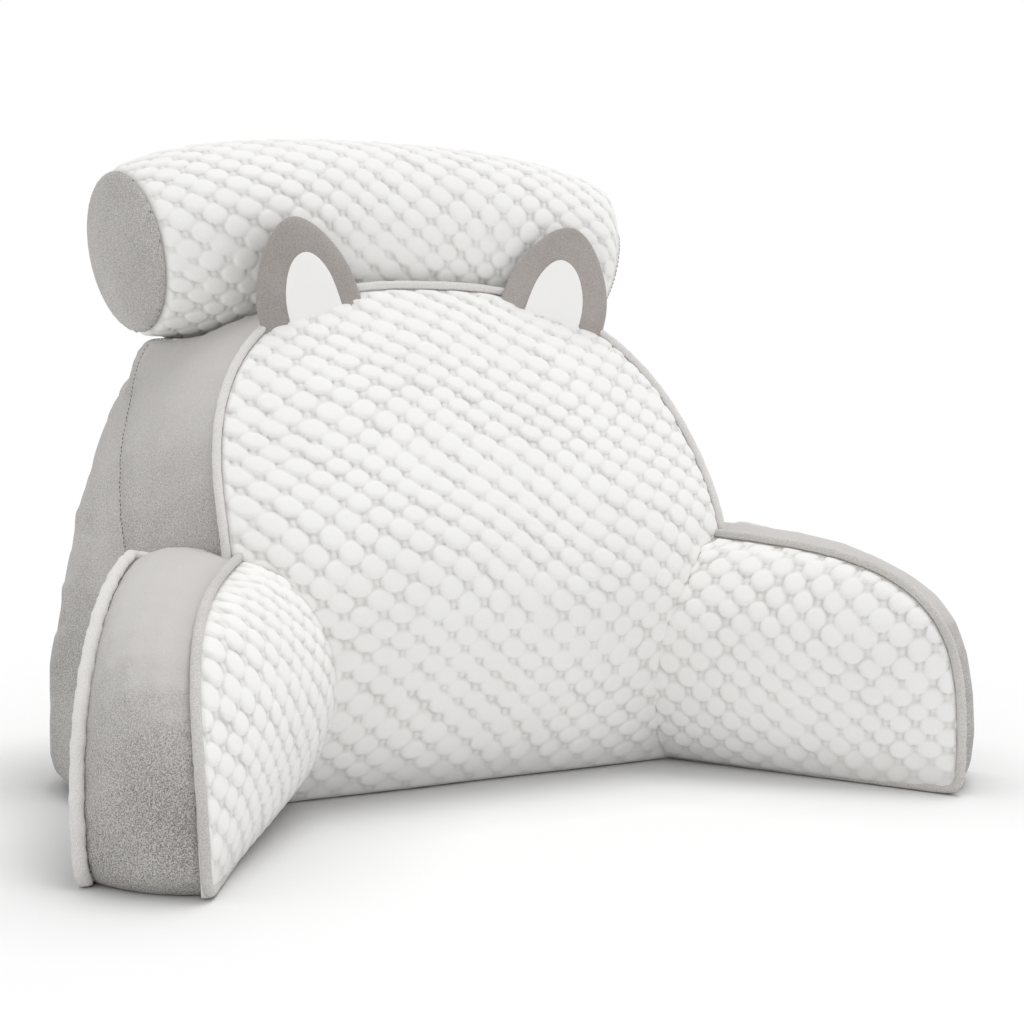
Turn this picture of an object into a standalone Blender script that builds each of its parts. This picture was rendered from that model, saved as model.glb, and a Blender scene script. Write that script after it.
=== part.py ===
"""Reading pillow with arms, ears and a neck roll.

A filled backrest stands on its flat base and leans back from the height of its arms.  A quilted
plush panel covers its front, a grey plush strip runs over its sides and top, and a back panel
closes the rear.  Two filled arms splay forward from its sides.  A quilted neck roll lies along the
top, behind two ears that are sewn into the front edge.

Metres.  +Z is up, the front faces -Y, X = 0 is the plane of symmetry, and the origin is the middle
of the floor area that the pillow covers.
"""
import math

import bmesh
import bpy
from mathutils import Matrix, Vector

# ---------------------------------------------------------------- driving dimensions
ORIGIN_Y = 0.0362               # from the front panel's foot back to the origin

ARM_TOP = 0.219                 # height of an arm's top at the backrest
FRONT_HALF = 0.2465             # half width of the front panel at the arm tops
FRONT_FOOT_HALF = 0.258         # half width of the same outline at the floor, behind the arms
FRONT_RISE = 0.2355             # height of the domed outline above the arm tops
FRONT_POWER = 2.6               # how square the dome is (2 is an ellipse)
FRONT_SLOPE = 0.61              # how far the dome leans back for each metre of height
FRONT_SLOPE_BLEND = 0.05        # half height of the bend between upright and leaning
FRONT_FOOT_LEAN = 0.0208        # how far the arm tops stand in front of the foot
FRONT_CROWN = 0.036             # how far the filled middle stands in front of the outline

BACK_HALF = 0.3090              # half width of the back seam where its arch begins
BACK_FOOT_HALF = 0.352          # half width of the back seam at the floor
BACK_RISE = 0.3317              # length of the arch, measured up its leaning plane
BACK_POWER = 2.9
BACK_LEAN = math.radians(30.3)  # the back seam's plane, from upright
BACK_SPRING = (0.0695, 0.1716)  # y and z where the back seam's arch begins
BACK_FOOT_Y = 0.058             # y of the back seam at the floor
SIDE_CROWN = 0.003              # how far the side strip stands out between its seams
REAR_POWER = 2.6
REAR_SWELL = 0.15               # sideways swell of the back panel, as a share of its half width
REAR_SWELL_Z = 0.165            # height where it swells most
REAR_SWELL_SPREAD = 0.13        # height over which the swell fades
REAR_Y = 0.3125                 # y of the rear at its fullest
REAR_Y_Z = 0.10                 # height where it is fullest
REAR_BOW = 0.5                  # how fast it curves away from there

FOOT_ROUNDING = 0.012           # how far the base is drawn in under its edge
FOOT_HEIGHT = 0.022             # height over which it is drawn in
SKIN_CLEAR = 0.003              # height at which the cover panels end above the floor

ARM_ROOT_X = 0.2039             # where an arm's inner face meets the front panel on the floor
ARM_SPLAY = math.radians(29.8)  # an arm points forward and outward by this angle
ARM_LEAN = 0.1035               # how far an arm leans outward for each metre of height
ARM_BOW = 0.0045                # how far the front of the inner face bows inward at half height
ARM_WIDTH = 0.0975              # from the inner to the outer edge
ARM_REACH_IN = 0.2829           # length of the inner face from the backrest
ARM_REACH_OUT = 0.2547          # length of the outer face
ARM_TOP_OUT = 0.2169            # height of the outer edge at the backrest
ARM_TAPER = 0.0605              # how far the top drops for each metre of its length
ARM_POWER_IN = 3.9              # how square the inner face's outline is (2 is an ellipse)
ARM_POWER_OUT = 2.03
ARM_STRIP_CROWN = [
    # share of the way from the arm's top to its foot, how far the strip stands out there
    (0.0, 0.010),
    (0.3, 0.015),
    (0.6, 0.0215),
    (0.9, 0.015),
    (1.0, 0.010),
]
ARM_SWELL = 0.0663              # how far the inner face swells inward beside the front panel
ARM_SWELL_POWER = 0.534
ARM_SWELL_RISE = 1.293          # above 1 the swell is fullest above half height
ARM_SWELL_FADE = 1.51
ARM_SHOULDER = 0.0095           # the swell grows over this distance below the top edge
ARM_OUTER_CROWN = 0.012         # how far the outer face stands out at its middle
ARM_INSERT = 0.075              # length of the loft that is cut away inside the backrest
# shares of the way from an arm's top to its foot, shared by its body, panels and piping
ARM_SHARES = [0, 0.02, 0.06, 0.14, 0.24, 0.34, 0.44, 0.54, 0.64, 0.74, 0.84, 0.93, 0.98, 0.994, 1]
DOME_STEPS = 10                 # straight pieces in each half of the dome's outline

BUBBLE_ACROSS = 0.032           # one repeat of the quilting, sideways
BUBBLE_UP = 0.027               # and up
BUBBLE_HEIGHT = 0.005           # how far a bubble stands out
COVER = 0.003                   # thickness of a cover between its bubbles
GAP = 0.0003                    # between pieces that touch

PIPING = 0.0045                 # radius of the piping
PIPING_OUT = (PIPING + 2 * GAP) / math.sqrt(2)   # from a body's edge to the piping, each way
PANEL_INSET = PIPING - PIPING_OUT + GAP          # from a body's edge to the edge of its panel

ROLL_HALF = 0.244               # half length of the roll between its end seams
ROLL_RADIUS = 0.092             # at the middle, between the bubbles
ROLL_END_RADIUS = 0.0745
ROLL_POWER = 5                  # how late the radius falls toward the ends
ROLL_X = -0.0225                # it lies a little to the left
ROLL_Y = 0.2263
ROLL_Z = 0.509                  # height of the axis at the middle
ROLL_TURN = math.radians(-2.5)  # its right end lies a little further forward
ROLL_BEND = 0.025               # how far each end stands in front of the middle
ROLL_DROOP = 0.0225             # how far each end hangs lower than the middle
ROLL_END_DOME = 0.017           # how far an end cap stands out
ROLL_ROUNDS = 42                # half repeats of the quilting around the roll

EAR_OUTER_BASE = Vector((0.180, 0.095, 0.4160))
EAR_INNER_BASE = Vector((0.077, 0.113, 0.4545))
EAR_TIP = Vector((0.143, 0.101, 0.5270))
EAR_STAND = 0.0086              # from the front panel to the back of an ear's base, past the piping
EAR_THICK = 0.013
EAR_CENTRE = 0.25               # share of an ear's height that its sections shrink toward
EAR_PAD_THICK = 0.003

# ---------------------------------------------------------------- covers and their colours
COVERS = {
    # name            colour     roughness
    "quilted_plush": ("F1F0EE", 0.90),
    "grey_plush":    ("C6C3C1", 0.92),
    "piping_plush":  ("DAD8D6", 0.90),
    "ear_plush":     ("A69F9B", 0.92),
    "ear_satin":     ("EDECEA", 0.80),
}


def linear(channel):
    """One sRGB channel, 0 to 1, as the linear value that a shader takes."""
    return channel / 12.92 if channel <= 0.04045 else ((channel + 0.055) / 1.055) ** 2.4


def make_material(name):
    colour, roughness = COVERS[name]
    material = bpy.data.materials.new(name)
    material.use_nodes = True
    shader = material.node_tree.nodes["Principled BSDF"]
    channels = [linear(int(colour[i:i + 2], 16) / 255) for i in (0, 2, 4)]
    shader.inputs["Base Color"].default_value = (*channels, 1)
    shader.inputs["Roughness"].default_value = roughness
    shader.inputs["Metallic"].default_value = 0
    return material


# ---------------------------------------------------------------- small shape rules
def mix(a, b, t):
    return a + (b - a) * t


def steps(count):
    return [i / count for i in range(count + 1)]


def round_part(share, power):
    """A point of a quarter superellipse: (falls from 1 to 0, rises from 0 to 1)."""
    angle = share * math.pi / 2
    falling = max(math.cos(angle), 0) ** (2 / power)
    rising = max(math.sin(angle), 0) ** (2 / power)
    return (0, 1) if share == 1 else (falling, rising)


def drawn_in(z):
    """How far an upright face is drawn in at height z, to the base."""
    share = max(0, 1 - z / FOOT_HEIGHT)
    return FOOT_ROUNDING * share ** 2.2


def from_table(table, x):
    """The second column of a table at x in the first, with no kinks at the rows."""
    for (low, start), (high, end) in zip(table, table[1:]):
        if x <= high:
            t = max(0, (x - low) / (high - low))
            return mix(start, end, t * t * (3 - 2 * t))
    return table[-1][1]


def ramp(t, blend):
    """0 below -blend, t above +blend, and a smooth bend between."""
    if t <= -blend:
        return 0
    return t if t >= blend else (t + blend) ** 2 / (4 * blend)


# ---------------------------------------------------------------- the backrest's surfaces
def front_edge_y(z):
    """y of the front panel's outline at height z."""
    foot = -FRONT_FOOT_LEAN * min(1, z / (ARM_TOP - FRONT_SLOPE_BLEND))
    return foot + FRONT_SLOPE * ramp(z - ARM_TOP, FRONT_SLOPE_BLEND)


def front_y(x, z):
    """y of the front panel's surface between the bubbles."""
    across = abs(x) / FRONT_HALF
    if z < ARM_TOP:
        share = max(0, z) / ARM_TOP
        fill = (1 - across ** 3.5) * (1 - (1 - share) ** 3)
    else:
        up = (z - ARM_TOP) / FRONT_RISE
        ratio = (across ** FRONT_POWER + up ** FRONT_POWER) ** (1 / FRONT_POWER)
        fill = 1 - ratio ** 3.5
    return front_edge_y(z) - FRONT_CROWN * max(fill, -0.6)


def arch_shares():
    """Shares of one side of an arch, from the floor (0) to the crown (2)."""
    foot = [0, 0.03, 0.09]
    side = [0.36, 0.68]
    dome = [1 + s for s in steps(DOME_STEPS)]
    return foot + side + dome


def front_arch(share):
    """A point of the front panel's outline."""
    if share < 1:
        z = share * ARM_TOP
        x = mix(FRONT_FOOT_HALF, FRONT_HALF, share)
    else:
        across, up = round_part(share - 1, FRONT_POWER)
        x = FRONT_HALF * across
        z = ARM_TOP + FRONT_RISE * up
    return Vector((x - drawn_in(z), front_edge_y(z), z))


def back_arch(share):
    """A point of the seam between the side strip and the back panel."""
    spring_y, spring_z = BACK_SPRING
    if share < 1:
        x = mix(BACK_FOOT_HALF, BACK_HALF, share)
        y = mix(BACK_FOOT_Y, spring_y, share)
        z = share * spring_z
    else:
        across, up = round_part(share - 1, BACK_POWER)
        x = BACK_HALF * across
        y = spring_y + BACK_RISE * up * math.sin(BACK_LEAN)
        z = spring_z + BACK_RISE * up * math.cos(BACK_LEAN)
    return Vector((x - drawn_in(z), y, z))


def rear_y(z):
    """y of the rear at the middle, at height z."""
    return REAR_Y - REAR_BOW * (z - REAR_Y_Z) ** 2 - drawn_in(z)


def rear_point(seam, share):
    """A point of the back panel, a share of the way from its seam to the middle of its foot."""
    shrink, depth = round_part(share, REAR_POWER)
    z = seam.z * shrink
    upright = math.exp(-((z - REAR_SWELL_Z) / REAR_SWELL_SPREAD) ** 2)
    swell = REAR_SWELL * upright * math.sin(math.pi * depth ** 0.8)
    return Vector((seam.x * shrink * (1 + swell), mix(seam.y, rear_y(z), depth), z))


def front_fill_point(edge, share):
    """A point of the filled front under its cover, a share of the way from its middle foot."""
    x = edge.x * share
    z = edge.z * share
    return Vector((x, front_y(x, z) + COVER + GAP, z))


def side_middle(front, back):
    """The middle of the side strip, which stands out a little between its seams."""
    middle = (front + back) / 2
    outward = Vector((middle.x, 0, max(middle.z - ARM_TOP, 0) * 0.8))
    return middle + outward.normalized() * SIDE_CROWN if middle.z > 0 else middle


# ---------------------------------------------------------------- the arm's surfaces
def arm_point(s, z, inward):
    """A point of the right arm: s along it, z up, and inward toward the seat."""
    along = Vector((math.sin(ARM_SPLAY), -math.cos(ARM_SPLAY), 0))
    outward = Vector((math.cos(ARM_SPLAY), math.sin(ARM_SPLAY), 0))
    root = Vector((ARM_ROOT_X, 0, 0))
    upright = math.sin(math.pi * min(1, max(0, z / ARM_TOP)))
    forward = min(1, max(0, s / ARM_REACH_IN))
    inside = 1 - min(1, max(0, -inward / ARM_WIDTH))
    lean = ARM_LEAN * z - ARM_BOW * upright * forward * inside
    return root + along * s + outward * (lean - inward) + Vector((0, 0, z))


def arm_edge(share, side):
    """A point (s, z) of an arm's strip. side is 0 at the inner edge and 1 at the outer one."""
    power = mix(ARM_POWER_IN, ARM_POWER_OUT, side)
    crown = from_table(ARM_STRIP_CROWN, share) * 4 * side * (1 - side)
    up, forward = round_part(share, power)
    s = (mix(ARM_REACH_IN, ARM_REACH_OUT, side) + crown) * forward
    z = (mix(ARM_TOP, ARM_TOP_OUT, side) + crown - ARM_TAPER * s) * up
    return s - drawn_in(z), z


def arm_edge_height(s):
    """Height of the inner face's edge, s along the arm."""
    share = min(1, max(0, s) / ARM_REACH_IN)
    return (ARM_TOP - ARM_TAPER * max(0, s)) * (1 - share ** ARM_POWER_IN) ** (1 / ARM_POWER_IN)


def arm_swell(s, z):
    """How far the inner face stands inward of its edge."""
    edge = max(arm_edge_height(s), 0.001)
    height = min(1, max(0, z) / edge)
    upright = max(0, math.sin(math.pi * height ** ARM_SWELL_RISE)) ** ARM_SWELL_POWER
    shoulder = min(1, max(0, edge - z) / ARM_SHOULDER)
    fade = 1 - min(1, max(0, s) / ARM_REACH_IN) ** ARM_SWELL_FADE
    return ARM_SWELL * upright * shoulder * fade


def seam_x(z):
    """x where the arm's inner face meets the front panel at height z."""
    low, high = -0.06, 0.12
    for _ in range(40):
        s = (low + high) / 2
        point = arm_point(s, z, arm_swell(s, z))
        low, high = (low, s) if point.y < front_y(point.x, z) else (s, high)
    return point.x


def panel_outline(shrink, beside_arm):
    """Outline (x, z) of the front panel: inside its piping, and cut away beside the arms."""
    lower = [SKIN_CLEAR + (ARM_TOP - SKIN_CLEAR) * (1 - math.cos(math.pi * t)) / 2 for t in steps(10)]
    side = [(seam_x(z) + beside_arm, z) for z in lower[:-1]]
    half, rise = FRONT_HALF - shrink, FRONT_RISE - shrink
    for t in steps(DOME_STEPS):
        across, up = round_part(t, FRONT_POWER)
        side.append((half * across, ARM_TOP + rise * up))
    return side + [(-x, z) for x, z in reversed(side[:-1])]


# ---------------------------------------------------------------- mesh helpers
def add_object(name, mesh, collection, material=None):
    thing = bpy.data.objects.new(name, mesh)
    collection.objects.link(thing)
    if material is not None:
        mesh.materials.clear()
        mesh.materials.append(material)
    return thing


def finish_mesh(bm, name):
    """Merge what meets, turn every face outward and return the mesh."""
    bmesh.ops.remove_doubles(bm, verts=bm.verts, dist=0.00006)
    bmesh.ops.dissolve_degenerate(bm, edges=bm.edges, dist=0.00001)
    bmesh.ops.triangulate(bm, faces=bm.faces)
    bmesh.ops.recalc_face_normals(bm, faces=bm.faces)
    mesh = bpy.data.meshes.new(name)
    bm.to_mesh(mesh)
    bm.free()
    mesh.shade_smooth()
    mesh.set_sharp_from_angle(angle=math.radians(50))
    return mesh


def loft(name, rings, closed=True, ends=True):
    """Join rings of points that have the same count."""
    bm = bmesh.new()
    rows = [[bm.verts.new(point) for point in ring] for ring in rings]
    count = len(rows[0])
    spans = count if closed else count - 1
    for row, following in zip(rows, rows[1:]):
        for i in range(spans):
            j = (i + 1) % count
            bm.faces.new((row[i], row[j], following[j], following[i]))
    if ends:
        bm.faces.new(rows[0])
        bm.faces.new(rows[-1])
    return finish_mesh(bm, name)


def prism(name, outline, place, near, far):
    """Extrude an outline of (a, b) pairs. place(a, b, c) gives the point at depth c."""
    return loft(name, [[place(a, b, c) for a, b in outline] for c in (near, far)])


def cutter(name, mesh):
    """An object that only cuts others."""
    thing = add_object(name, mesh, bpy.data.collections["cutters"])
    thing.hide_render = True
    thing.display_type = "WIRE"
    return thing


def grown(thing, by=GAP):
    """A cutter that is the piece made larger by the gap on every side."""
    bm = bmesh.new()
    bm.from_mesh(thing.data)
    bm.normal_update()
    shifts = [v.normal * by * min(v.calc_shell_factor(), 1.8) for v in bm.verts]
    for vert, shift in zip(bm.verts, shifts):
        vert.co += shift
    mesh = bpy.data.meshes.new(thing.name + "_room")
    bm.to_mesh(mesh)
    bm.free()
    return cutter(thing.name + "_room", mesh)


def shape(thing, operation, tools):
    """Cut the piece with each tool, bake the result and keep its largest body."""
    for tool in tools:
        boolean = thing.modifiers.new(tool.name, "BOOLEAN")
        boolean.operation = operation
        boolean.object = tool
    bpy.context.view_layer.update()
    baked = bpy.data.meshes.new_from_object(thing.evaluated_get(bpy.context.evaluated_depsgraph_get()))
    thing.modifiers.clear()
    bm = bmesh.new()
    bm.from_mesh(baked)
    keep_largest(bm)
    material = thing.data.materials[0] if thing.data.materials else None
    thing.data = finish_mesh(bm, thing.name)
    if material is not None:
        thing.data.materials.append(material)
    return thing


def keep_largest(bm):
    """Delete every body but the one with the most faces."""
    unseen = set(bm.faces)
    bodies = []
    while unseen:
        body, front = [], [unseen.pop()]
        while front:
            face = front.pop()
            body.append(face)
            for edge in face.edges:
                for other in edge.link_faces:
                    if other in unseen:
                        unseen.remove(other)
                        front.append(other)
        bodies.append(body)
    bodies.sort(key=len)
    loose = [face for body in bodies[:-1] for face in body]
    bmesh.ops.delete(bm, geom=loose, context="FACES")


def mirrored(thing, name):
    """The same piece on the left side."""
    bm = bmesh.new()
    bm.from_mesh(thing.data)
    bmesh.ops.scale(bm, vec=(-1, 1, 1), verts=bm.verts)
    bmesh.ops.reverse_faces(bm, faces=bm.faces)
    mesh = finish_mesh(bm, name)
    return add_object(name, mesh, bpy.data.collections["reading_pillow"], thing.data.materials[0])


def bead(name, points, collection, material, radius=PIPING):
    """A run of piping along a list of points, as one closed tube."""
    curve = bpy.data.curves.new(name, "CURVE")
    curve.dimensions = "3D"
    curve.bevel_depth = radius
    curve.bevel_resolution = 2
    curve.use_fill_caps = True
    spline = curve.splines.new("POLY")
    spline.points.add(len(points) - 1)
    for knot, point in zip(spline.points, points):
        knot.co = (*point, 1)
    guide = add_object(name + "_path", curve, collection)
    bpy.context.view_layer.update()
    depsgraph = bpy.context.evaluated_depsgraph_get()
    bm = bmesh.new()
    bm.from_mesh(bpy.data.meshes.new_from_object(guide.evaluated_get(depsgraph)))
    bpy.data.objects.remove(guide)
    return add_object(name, finish_mesh(bm, name), collection, material)


def quilted(name, columns, rows, place, back):
    """A quilted block. Its face has a node at every half repeat, raised at every other one.

    place(column, row, lift) gives a point of the face, and back(point) the point behind it.
    """
    bm = bmesh.new()
    lift = [[BUBBLE_HEIGHT if (i + j) % 2 == 0 else 0 for i in range(columns + 1)] for j in range(rows + 1)]
    face = [[bm.verts.new(place(i, j, lift[j][i])) for i in range(columns + 1)] for j in range(rows + 1)]
    for j in range(rows):
        for i in range(columns):
            corners = [face[j][i], face[j][i + 1], face[j + 1][i + 1], face[j + 1][i]]
            turn = 1 if lift[j][i] else 0
            a, b, c, d = corners[turn:] + corners[:turn]
            bm.faces.new((a, b, c))
            bm.faces.new((a, c, d))
    rim = face[0][:-1] + [row[-1] for row in face[:-1]] + face[-1][:0:-1] + [row[0] for row in face[:0:-1]]
    behind = [bm.verts.new(back(vert.co)) for vert in rim]
    for k in range(len(rim)):
        following = (k + 1) % len(rim)
        bm.faces.new((rim[k], rim[following], behind[following], behind[k]))
    bm.faces.new(behind)
    return finish_mesh(bm, name)


# ---------------------------------------------------------------- pieces
def backrest_rings():
    """Rows of the backrest's surface, from the middle of its front foot to that of its back."""
    shares = arch_shares()
    right = [(front_arch(s), back_arch(s)) for s in shares]
    rows = [[front_fill_point(front, t) for front, _ in right] for t in (0, 0.25, 0.5, 0.72, 0.88, 1)]
    rows.append([side_middle(front, back) for front, back in right])
    rows.append([back for _, back in right])
    rear = [[rear_point(back, t) for _, back in right] for t in (0, 0.2, 0.4, 0.6, 0.8, 1)]
    return rows, rear


def whole_arch(row):
    """A row of one side, continued over to the other side."""
    return row + [Vector((-p.x, p.y, p.z)) for p in reversed(row[:-1])]


def set_in(rows, distance):
    """Rows of the rear surface, which end in one point, moved inward along its normals."""
    bm = bmesh.new()
    lines = [[bm.verts.new(p) for p in row] for row in rows[:-1]]
    foot = bm.verts.new(rows[-1][0])
    for line, following in zip(lines, lines[1:]):
        for i in range(len(line) - 1):
            bm.faces.new((line[i], line[i + 1], following[i + 1], following[i]))
    for vert, following in zip(lines[-1], lines[-1][1:]):
        bm.faces.new((vert, following, foot))
    bm.normal_update()
    turn = 1 if foot.normal.y > 0 else -1

    def moved(vert):
        outward = vert.normal * turn
        if vert.co.z < 0.0001:
            outward = Vector((outward.x, outward.y, 0)).normalized()
        return vert.co - outward * distance

    result = [[moved(vert) for vert in line] for line in lines] + [[moved(foot)] * len(rows[-1])]
    bm.free()
    return result


def make_backrest(collection, material):
    """The filled body. Its rear is set in by the thickness of the back panel."""
    rows, rear = backrest_rings()
    rows = [whole_arch(row) for row in rows]
    rear = set_in([whole_arch(row) for row in rear], COVER + 2 * GAP)
    bm = bmesh.new()
    lines = [[bm.verts.new(p) for p in row] for row in (rows + rear)[1:-1]]
    for line, following in zip(lines, lines[1:]):
        for i in range(len(line) - 1):
            bm.faces.new((line[i], line[i + 1], following[i + 1], following[i]))
    front_foot, rear_foot = bm.verts.new(rows[0][0]), bm.verts.new(rear[-1][0])
    for foot, line in ((front_foot, lines[0]), (rear_foot, lines[-1])):
        for vert, following in zip(line, line[1:]):
            bm.faces.new((vert, following, foot))
    floor = [line[0] for line in lines] + [rear_foot] + [line[-1] for line in reversed(lines)]
    bm.faces.new([front_foot] + floor)
    return add_object("backrest", finish_mesh(bm, "backrest"), collection, material)


def make_back_panel(collection, material):
    """The rear cover: the space between the rear surface and the filled body."""
    _, rear = backrest_rings()
    outer = [whole_arch(row) for row in rear]
    inner = set_in(outer, COVER)
    for line in (outer, inner):
        line[0] = [a + (b - a).normalized() * 2 * GAP for a, b in zip(line[0], line[1])]
    bm = bmesh.new()
    faces = [[[bm.verts.new(p) for p in row] for row in side] for side in (outer, inner)]
    for side in faces:
        for row, following in zip(side, side[1:]):
            for i in range(len(row) - 1):
                bm.faces.new((row[i], row[i + 1], following[i + 1], following[i]))
    over, under = faces
    rims = [(over[0], under[0])]
    rims += [([row[end] for row in over], [row[end] for row in under]) for end in (0, -1)]
    for line, behind in rims:
        for i in range(len(line) - 1):
            bm.faces.new((line[i], line[i + 1], behind[i + 1], behind[i]))
    return add_object("back_panel", finish_mesh(bm, "back_panel"), collection, material)


def front_rows():
    """Heights that are a half repeat of the quilting apart, measured over the filled front."""
    heights, z, length = [-0.02], -0.02, 0.0
    fine = 0.0005
    while z < ARM_TOP + FRONT_RISE + 0.02:
        rise = front_y(0, z + fine) - front_y(0, z)
        length += math.hypot(fine, rise)
        z += fine
        if length >= BUBBLE_UP / 2:
            heights.append(z)
            length = 0.0
    return heights


def make_front_panel(collection, material):
    columns = 2 * math.ceil((FRONT_HALF + 0.01) / BUBBLE_ACROSS) * 2
    heights = front_rows()

    def place(column, row, lift):
        x = (column - columns / 2) * BUBBLE_ACROSS / 2
        z = heights[row]
        return Vector((x, front_y(x, z) - lift, z))

    def back(point):
        return Vector((point.x, 0.04 + 0.30 * point.z, point.z))

    mesh = quilted("front_panel", columns, len(heights) - 1, place, back)
    return add_object("front_panel", mesh, collection, material)


def outline_prism(name, shrink, beside_arm):
    outline = panel_outline(shrink, beside_arm)
    return cutter(name, prism(name, outline, lambda x, z, y: Vector((x, y, z)), -0.30, 0.40))


def make_arm(collection, material):
    """The right arm's filled body, with its rear end left long inside the backrest."""
    rings = []
    inset = COVER + GAP
    for share in ARM_SHARES:
        s_in, z_in = arm_edge(share, 0)
        s_out, z_out = arm_edge(share, 1)
        ring = [arm_point(-ARM_INSERT, z_in, arm_swell(0, z_in) - inset)]
        for t in steps(6):
            s = s_in * t
            ring.append(arm_point(s, z_in, arm_swell(s, z_in) - inset))
        for t in (0.25, 0.5, 0.75):
            s, z = arm_edge(share, t)
            ring.append(arm_point(s, z, -inset - (ARM_WIDTH - 2 * inset) * t))
        for t in (1, 0.66, 0.33, 0):
            s = s_out * t
            puff = ARM_OUTER_CROWN * (1 - t ** 2) * math.sin(math.pi * min(1, z_out / ARM_TOP_OUT))
            ring.append(arm_point(s, z_out, -(ARM_WIDTH + puff - inset)))
        ring.append(arm_point(-ARM_INSERT, z_out, -(ARM_WIDTH - inset)))
        rings.append(ring)
    return add_object("arm_right", loft("arm_right", rings), collection, material)


def arm_outline(side, shrink):
    """The outline (s, z) of one of an arm's faces, inside its piping."""
    top = mix(ARM_TOP, ARM_TOP_OUT, side) - shrink
    reach = mix(ARM_REACH_IN, ARM_REACH_OUT, side) - shrink
    power = mix(ARM_POWER_IN, ARM_POWER_OUT, side)
    outline = [(-ARM_INSERT * 0.8, SKIN_CLEAR), (-ARM_INSERT * 0.8, top)]
    for share in ARM_SHARES:
        up, forward = round_part(share, power)
        s = reach * forward
        z = (top - ARM_TAPER * s) * up
        outline.append((s - drawn_in(z), max(z, SKIN_CLEAR)))
    return outline


def make_arm_inner_panel(collection, material):
    columns = 2 * math.ceil((ARM_REACH_IN + ARM_INSERT) / BUBBLE_ACROSS)
    rows = 2 * math.ceil((ARM_TOP + 0.02) / BUBBLE_UP)

    def place(column, row, lift):
        s = -ARM_INSERT * 0.7 + column * BUBBLE_ACROSS / 2
        z = (row - 1) * BUBBLE_UP / 2
        return arm_point(s, z, arm_swell(s, z) + lift)

    def back(point):
        along = (point.x - ARM_ROOT_X) * math.sin(ARM_SPLAY) - point.y * math.cos(ARM_SPLAY)
        return arm_point(along, point.z, -0.045)

    mesh = quilted("arm_right_inner_panel", columns, rows, place, back)
    return add_object("arm_right_inner_panel", mesh, collection, material)


def make_arm_outer_panel(collection, material):
    rows = []
    for z in [(ARM_TOP_OUT + 0.02) * t - 0.01 for t in steps(8)]:
        row = []
        for s in [mix(-ARM_INSERT, ARM_REACH_OUT + 0.02, t) for t in steps(8)]:
            height = min(1, max(0, z / ARM_TOP_OUT))
            puff = ARM_OUTER_CROWN * (1 - min(1, max(0, s) / ARM_REACH_OUT) ** 2) * math.sin(math.pi * height)
            row.append((s, z, -(ARM_WIDTH + puff)))
        rows.append(row)
    face = [[arm_point(*p) for p in row] for row in rows]
    mesh = loft("arm_right_outer_panel", face, closed=False, ends=False)
    panel = add_object("arm_right_outer_panel", mesh, collection, material)
    thick = panel.modifiers.new("thickness", "SOLIDIFY")
    thick.thickness = 0.02
    thick.offset = -1
    return panel


def beside_edge(edge_point, share, distance):
    """A point beside an outline, which edge_point(share) gives as (a, b) pairs."""
    a, b = edge_point(share)
    before, after = edge_point(max(share - 0.01, 0)), edge_point(min(share + 0.01, 1))
    run = Vector((after[0] - before[0], after[1] - before[1])).normalized()
    return a - run.y * distance, b + run.x * distance


def arm_bead_points(side):
    """Piping along an arm's edge, from the front panel over the top and down the front."""

    def on_edge(share):
        s, z = beside_edge(lambda t: arm_edge(t, side), share, PIPING_OUT)
        return arm_point(s, z, -ARM_WIDTH * side)

    high = [share for share in ARM_SHARES[1:] if arm_edge(share, side)[1] > FOOT_HEIGHT]
    return [on_edge(share) for share in [0.005] + high]


def foot_run_points(side):
    """The same piping round the lower corner and back along the floor."""
    toe = mix(ARM_REACH_IN, ARM_REACH_OUT, side)
    top = mix(ARM_TOP, ARM_TOP_OUT, side)
    power = mix(ARM_POWER_IN, ARM_POWER_OUT, side)
    corner = []
    for z in (0.0180, 0.0135):
        edge = toe * (1 - (z / top) ** power) ** (1 / power) - drawn_in(z)
        corner.append((edge + PIPING_OUT, z))
    corner += [(toe - 0.0020, 0.0062), (toe - 0.0115, PIPING)]
    straight = [(toe * 0.5, PIPING), (-0.03, PIPING)]
    return [arm_point(s, z, -ARM_WIDTH * side) for s, z in corner + straight]


def make_arm_bead(name, side, collection, material):
    return bead(name, arm_bead_points(side) + foot_run_points(side), collection, material)


def foot_run_room(side):
    """A cutter that makes room for the piping on the floor."""
    cutters = bpy.data.collections["cutters"]
    run = bead(f"foot_run_{side}", foot_run_points(side), cutters, None, (PIPING + GAP) / math.cos(math.pi / 8))
    run.hide_render = True
    run.display_type = "WIRE"
    return run


def make_front_bead(collection, material):
    """Piping over the dome, from the top of one arm to that of the other."""

    def dome(share):
        across, up = round_part(share, FRONT_POWER)
        return FRONT_HALF * across, ARM_TOP + FRONT_RISE * up

    def on_edge(share):
        x, z = beside_edge(dome, share, -PIPING_OUT)
        edge_z = dome(share)[1]
        return Vector((x, front_edge_y(edge_z) + COVER + GAP - PIPING_OUT, z))

    foot = 2 * PIPING_OUT + PIPING
    start = math.asin((foot / FRONT_RISE) ** (FRONT_POWER / 2)) / (math.pi / 2)
    half = [on_edge(start)] + [on_edge(share) for share in steps(DOME_STEPS) if share > start + 0.03]
    whole = half + [Vector((-p.x, p.y, p.z)) for p in reversed(half[:-1])]
    return bead("front_piping", whole, collection, material)


def ear_frame():
    """The right ear's base middle, its directions across and up, and its front's direction."""
    base = (EAR_OUTER_BASE + EAR_INNER_BASE) / 2
    across = (EAR_INNER_BASE - EAR_OUTER_BASE).normalized()
    rise = EAR_TIP - base
    front = across.cross(rise).normalized()
    if front.y > 0:
        front = -front
    up = front.cross(across)
    up = up if up.z > 0 else -up
    return base, across, up, front


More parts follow.
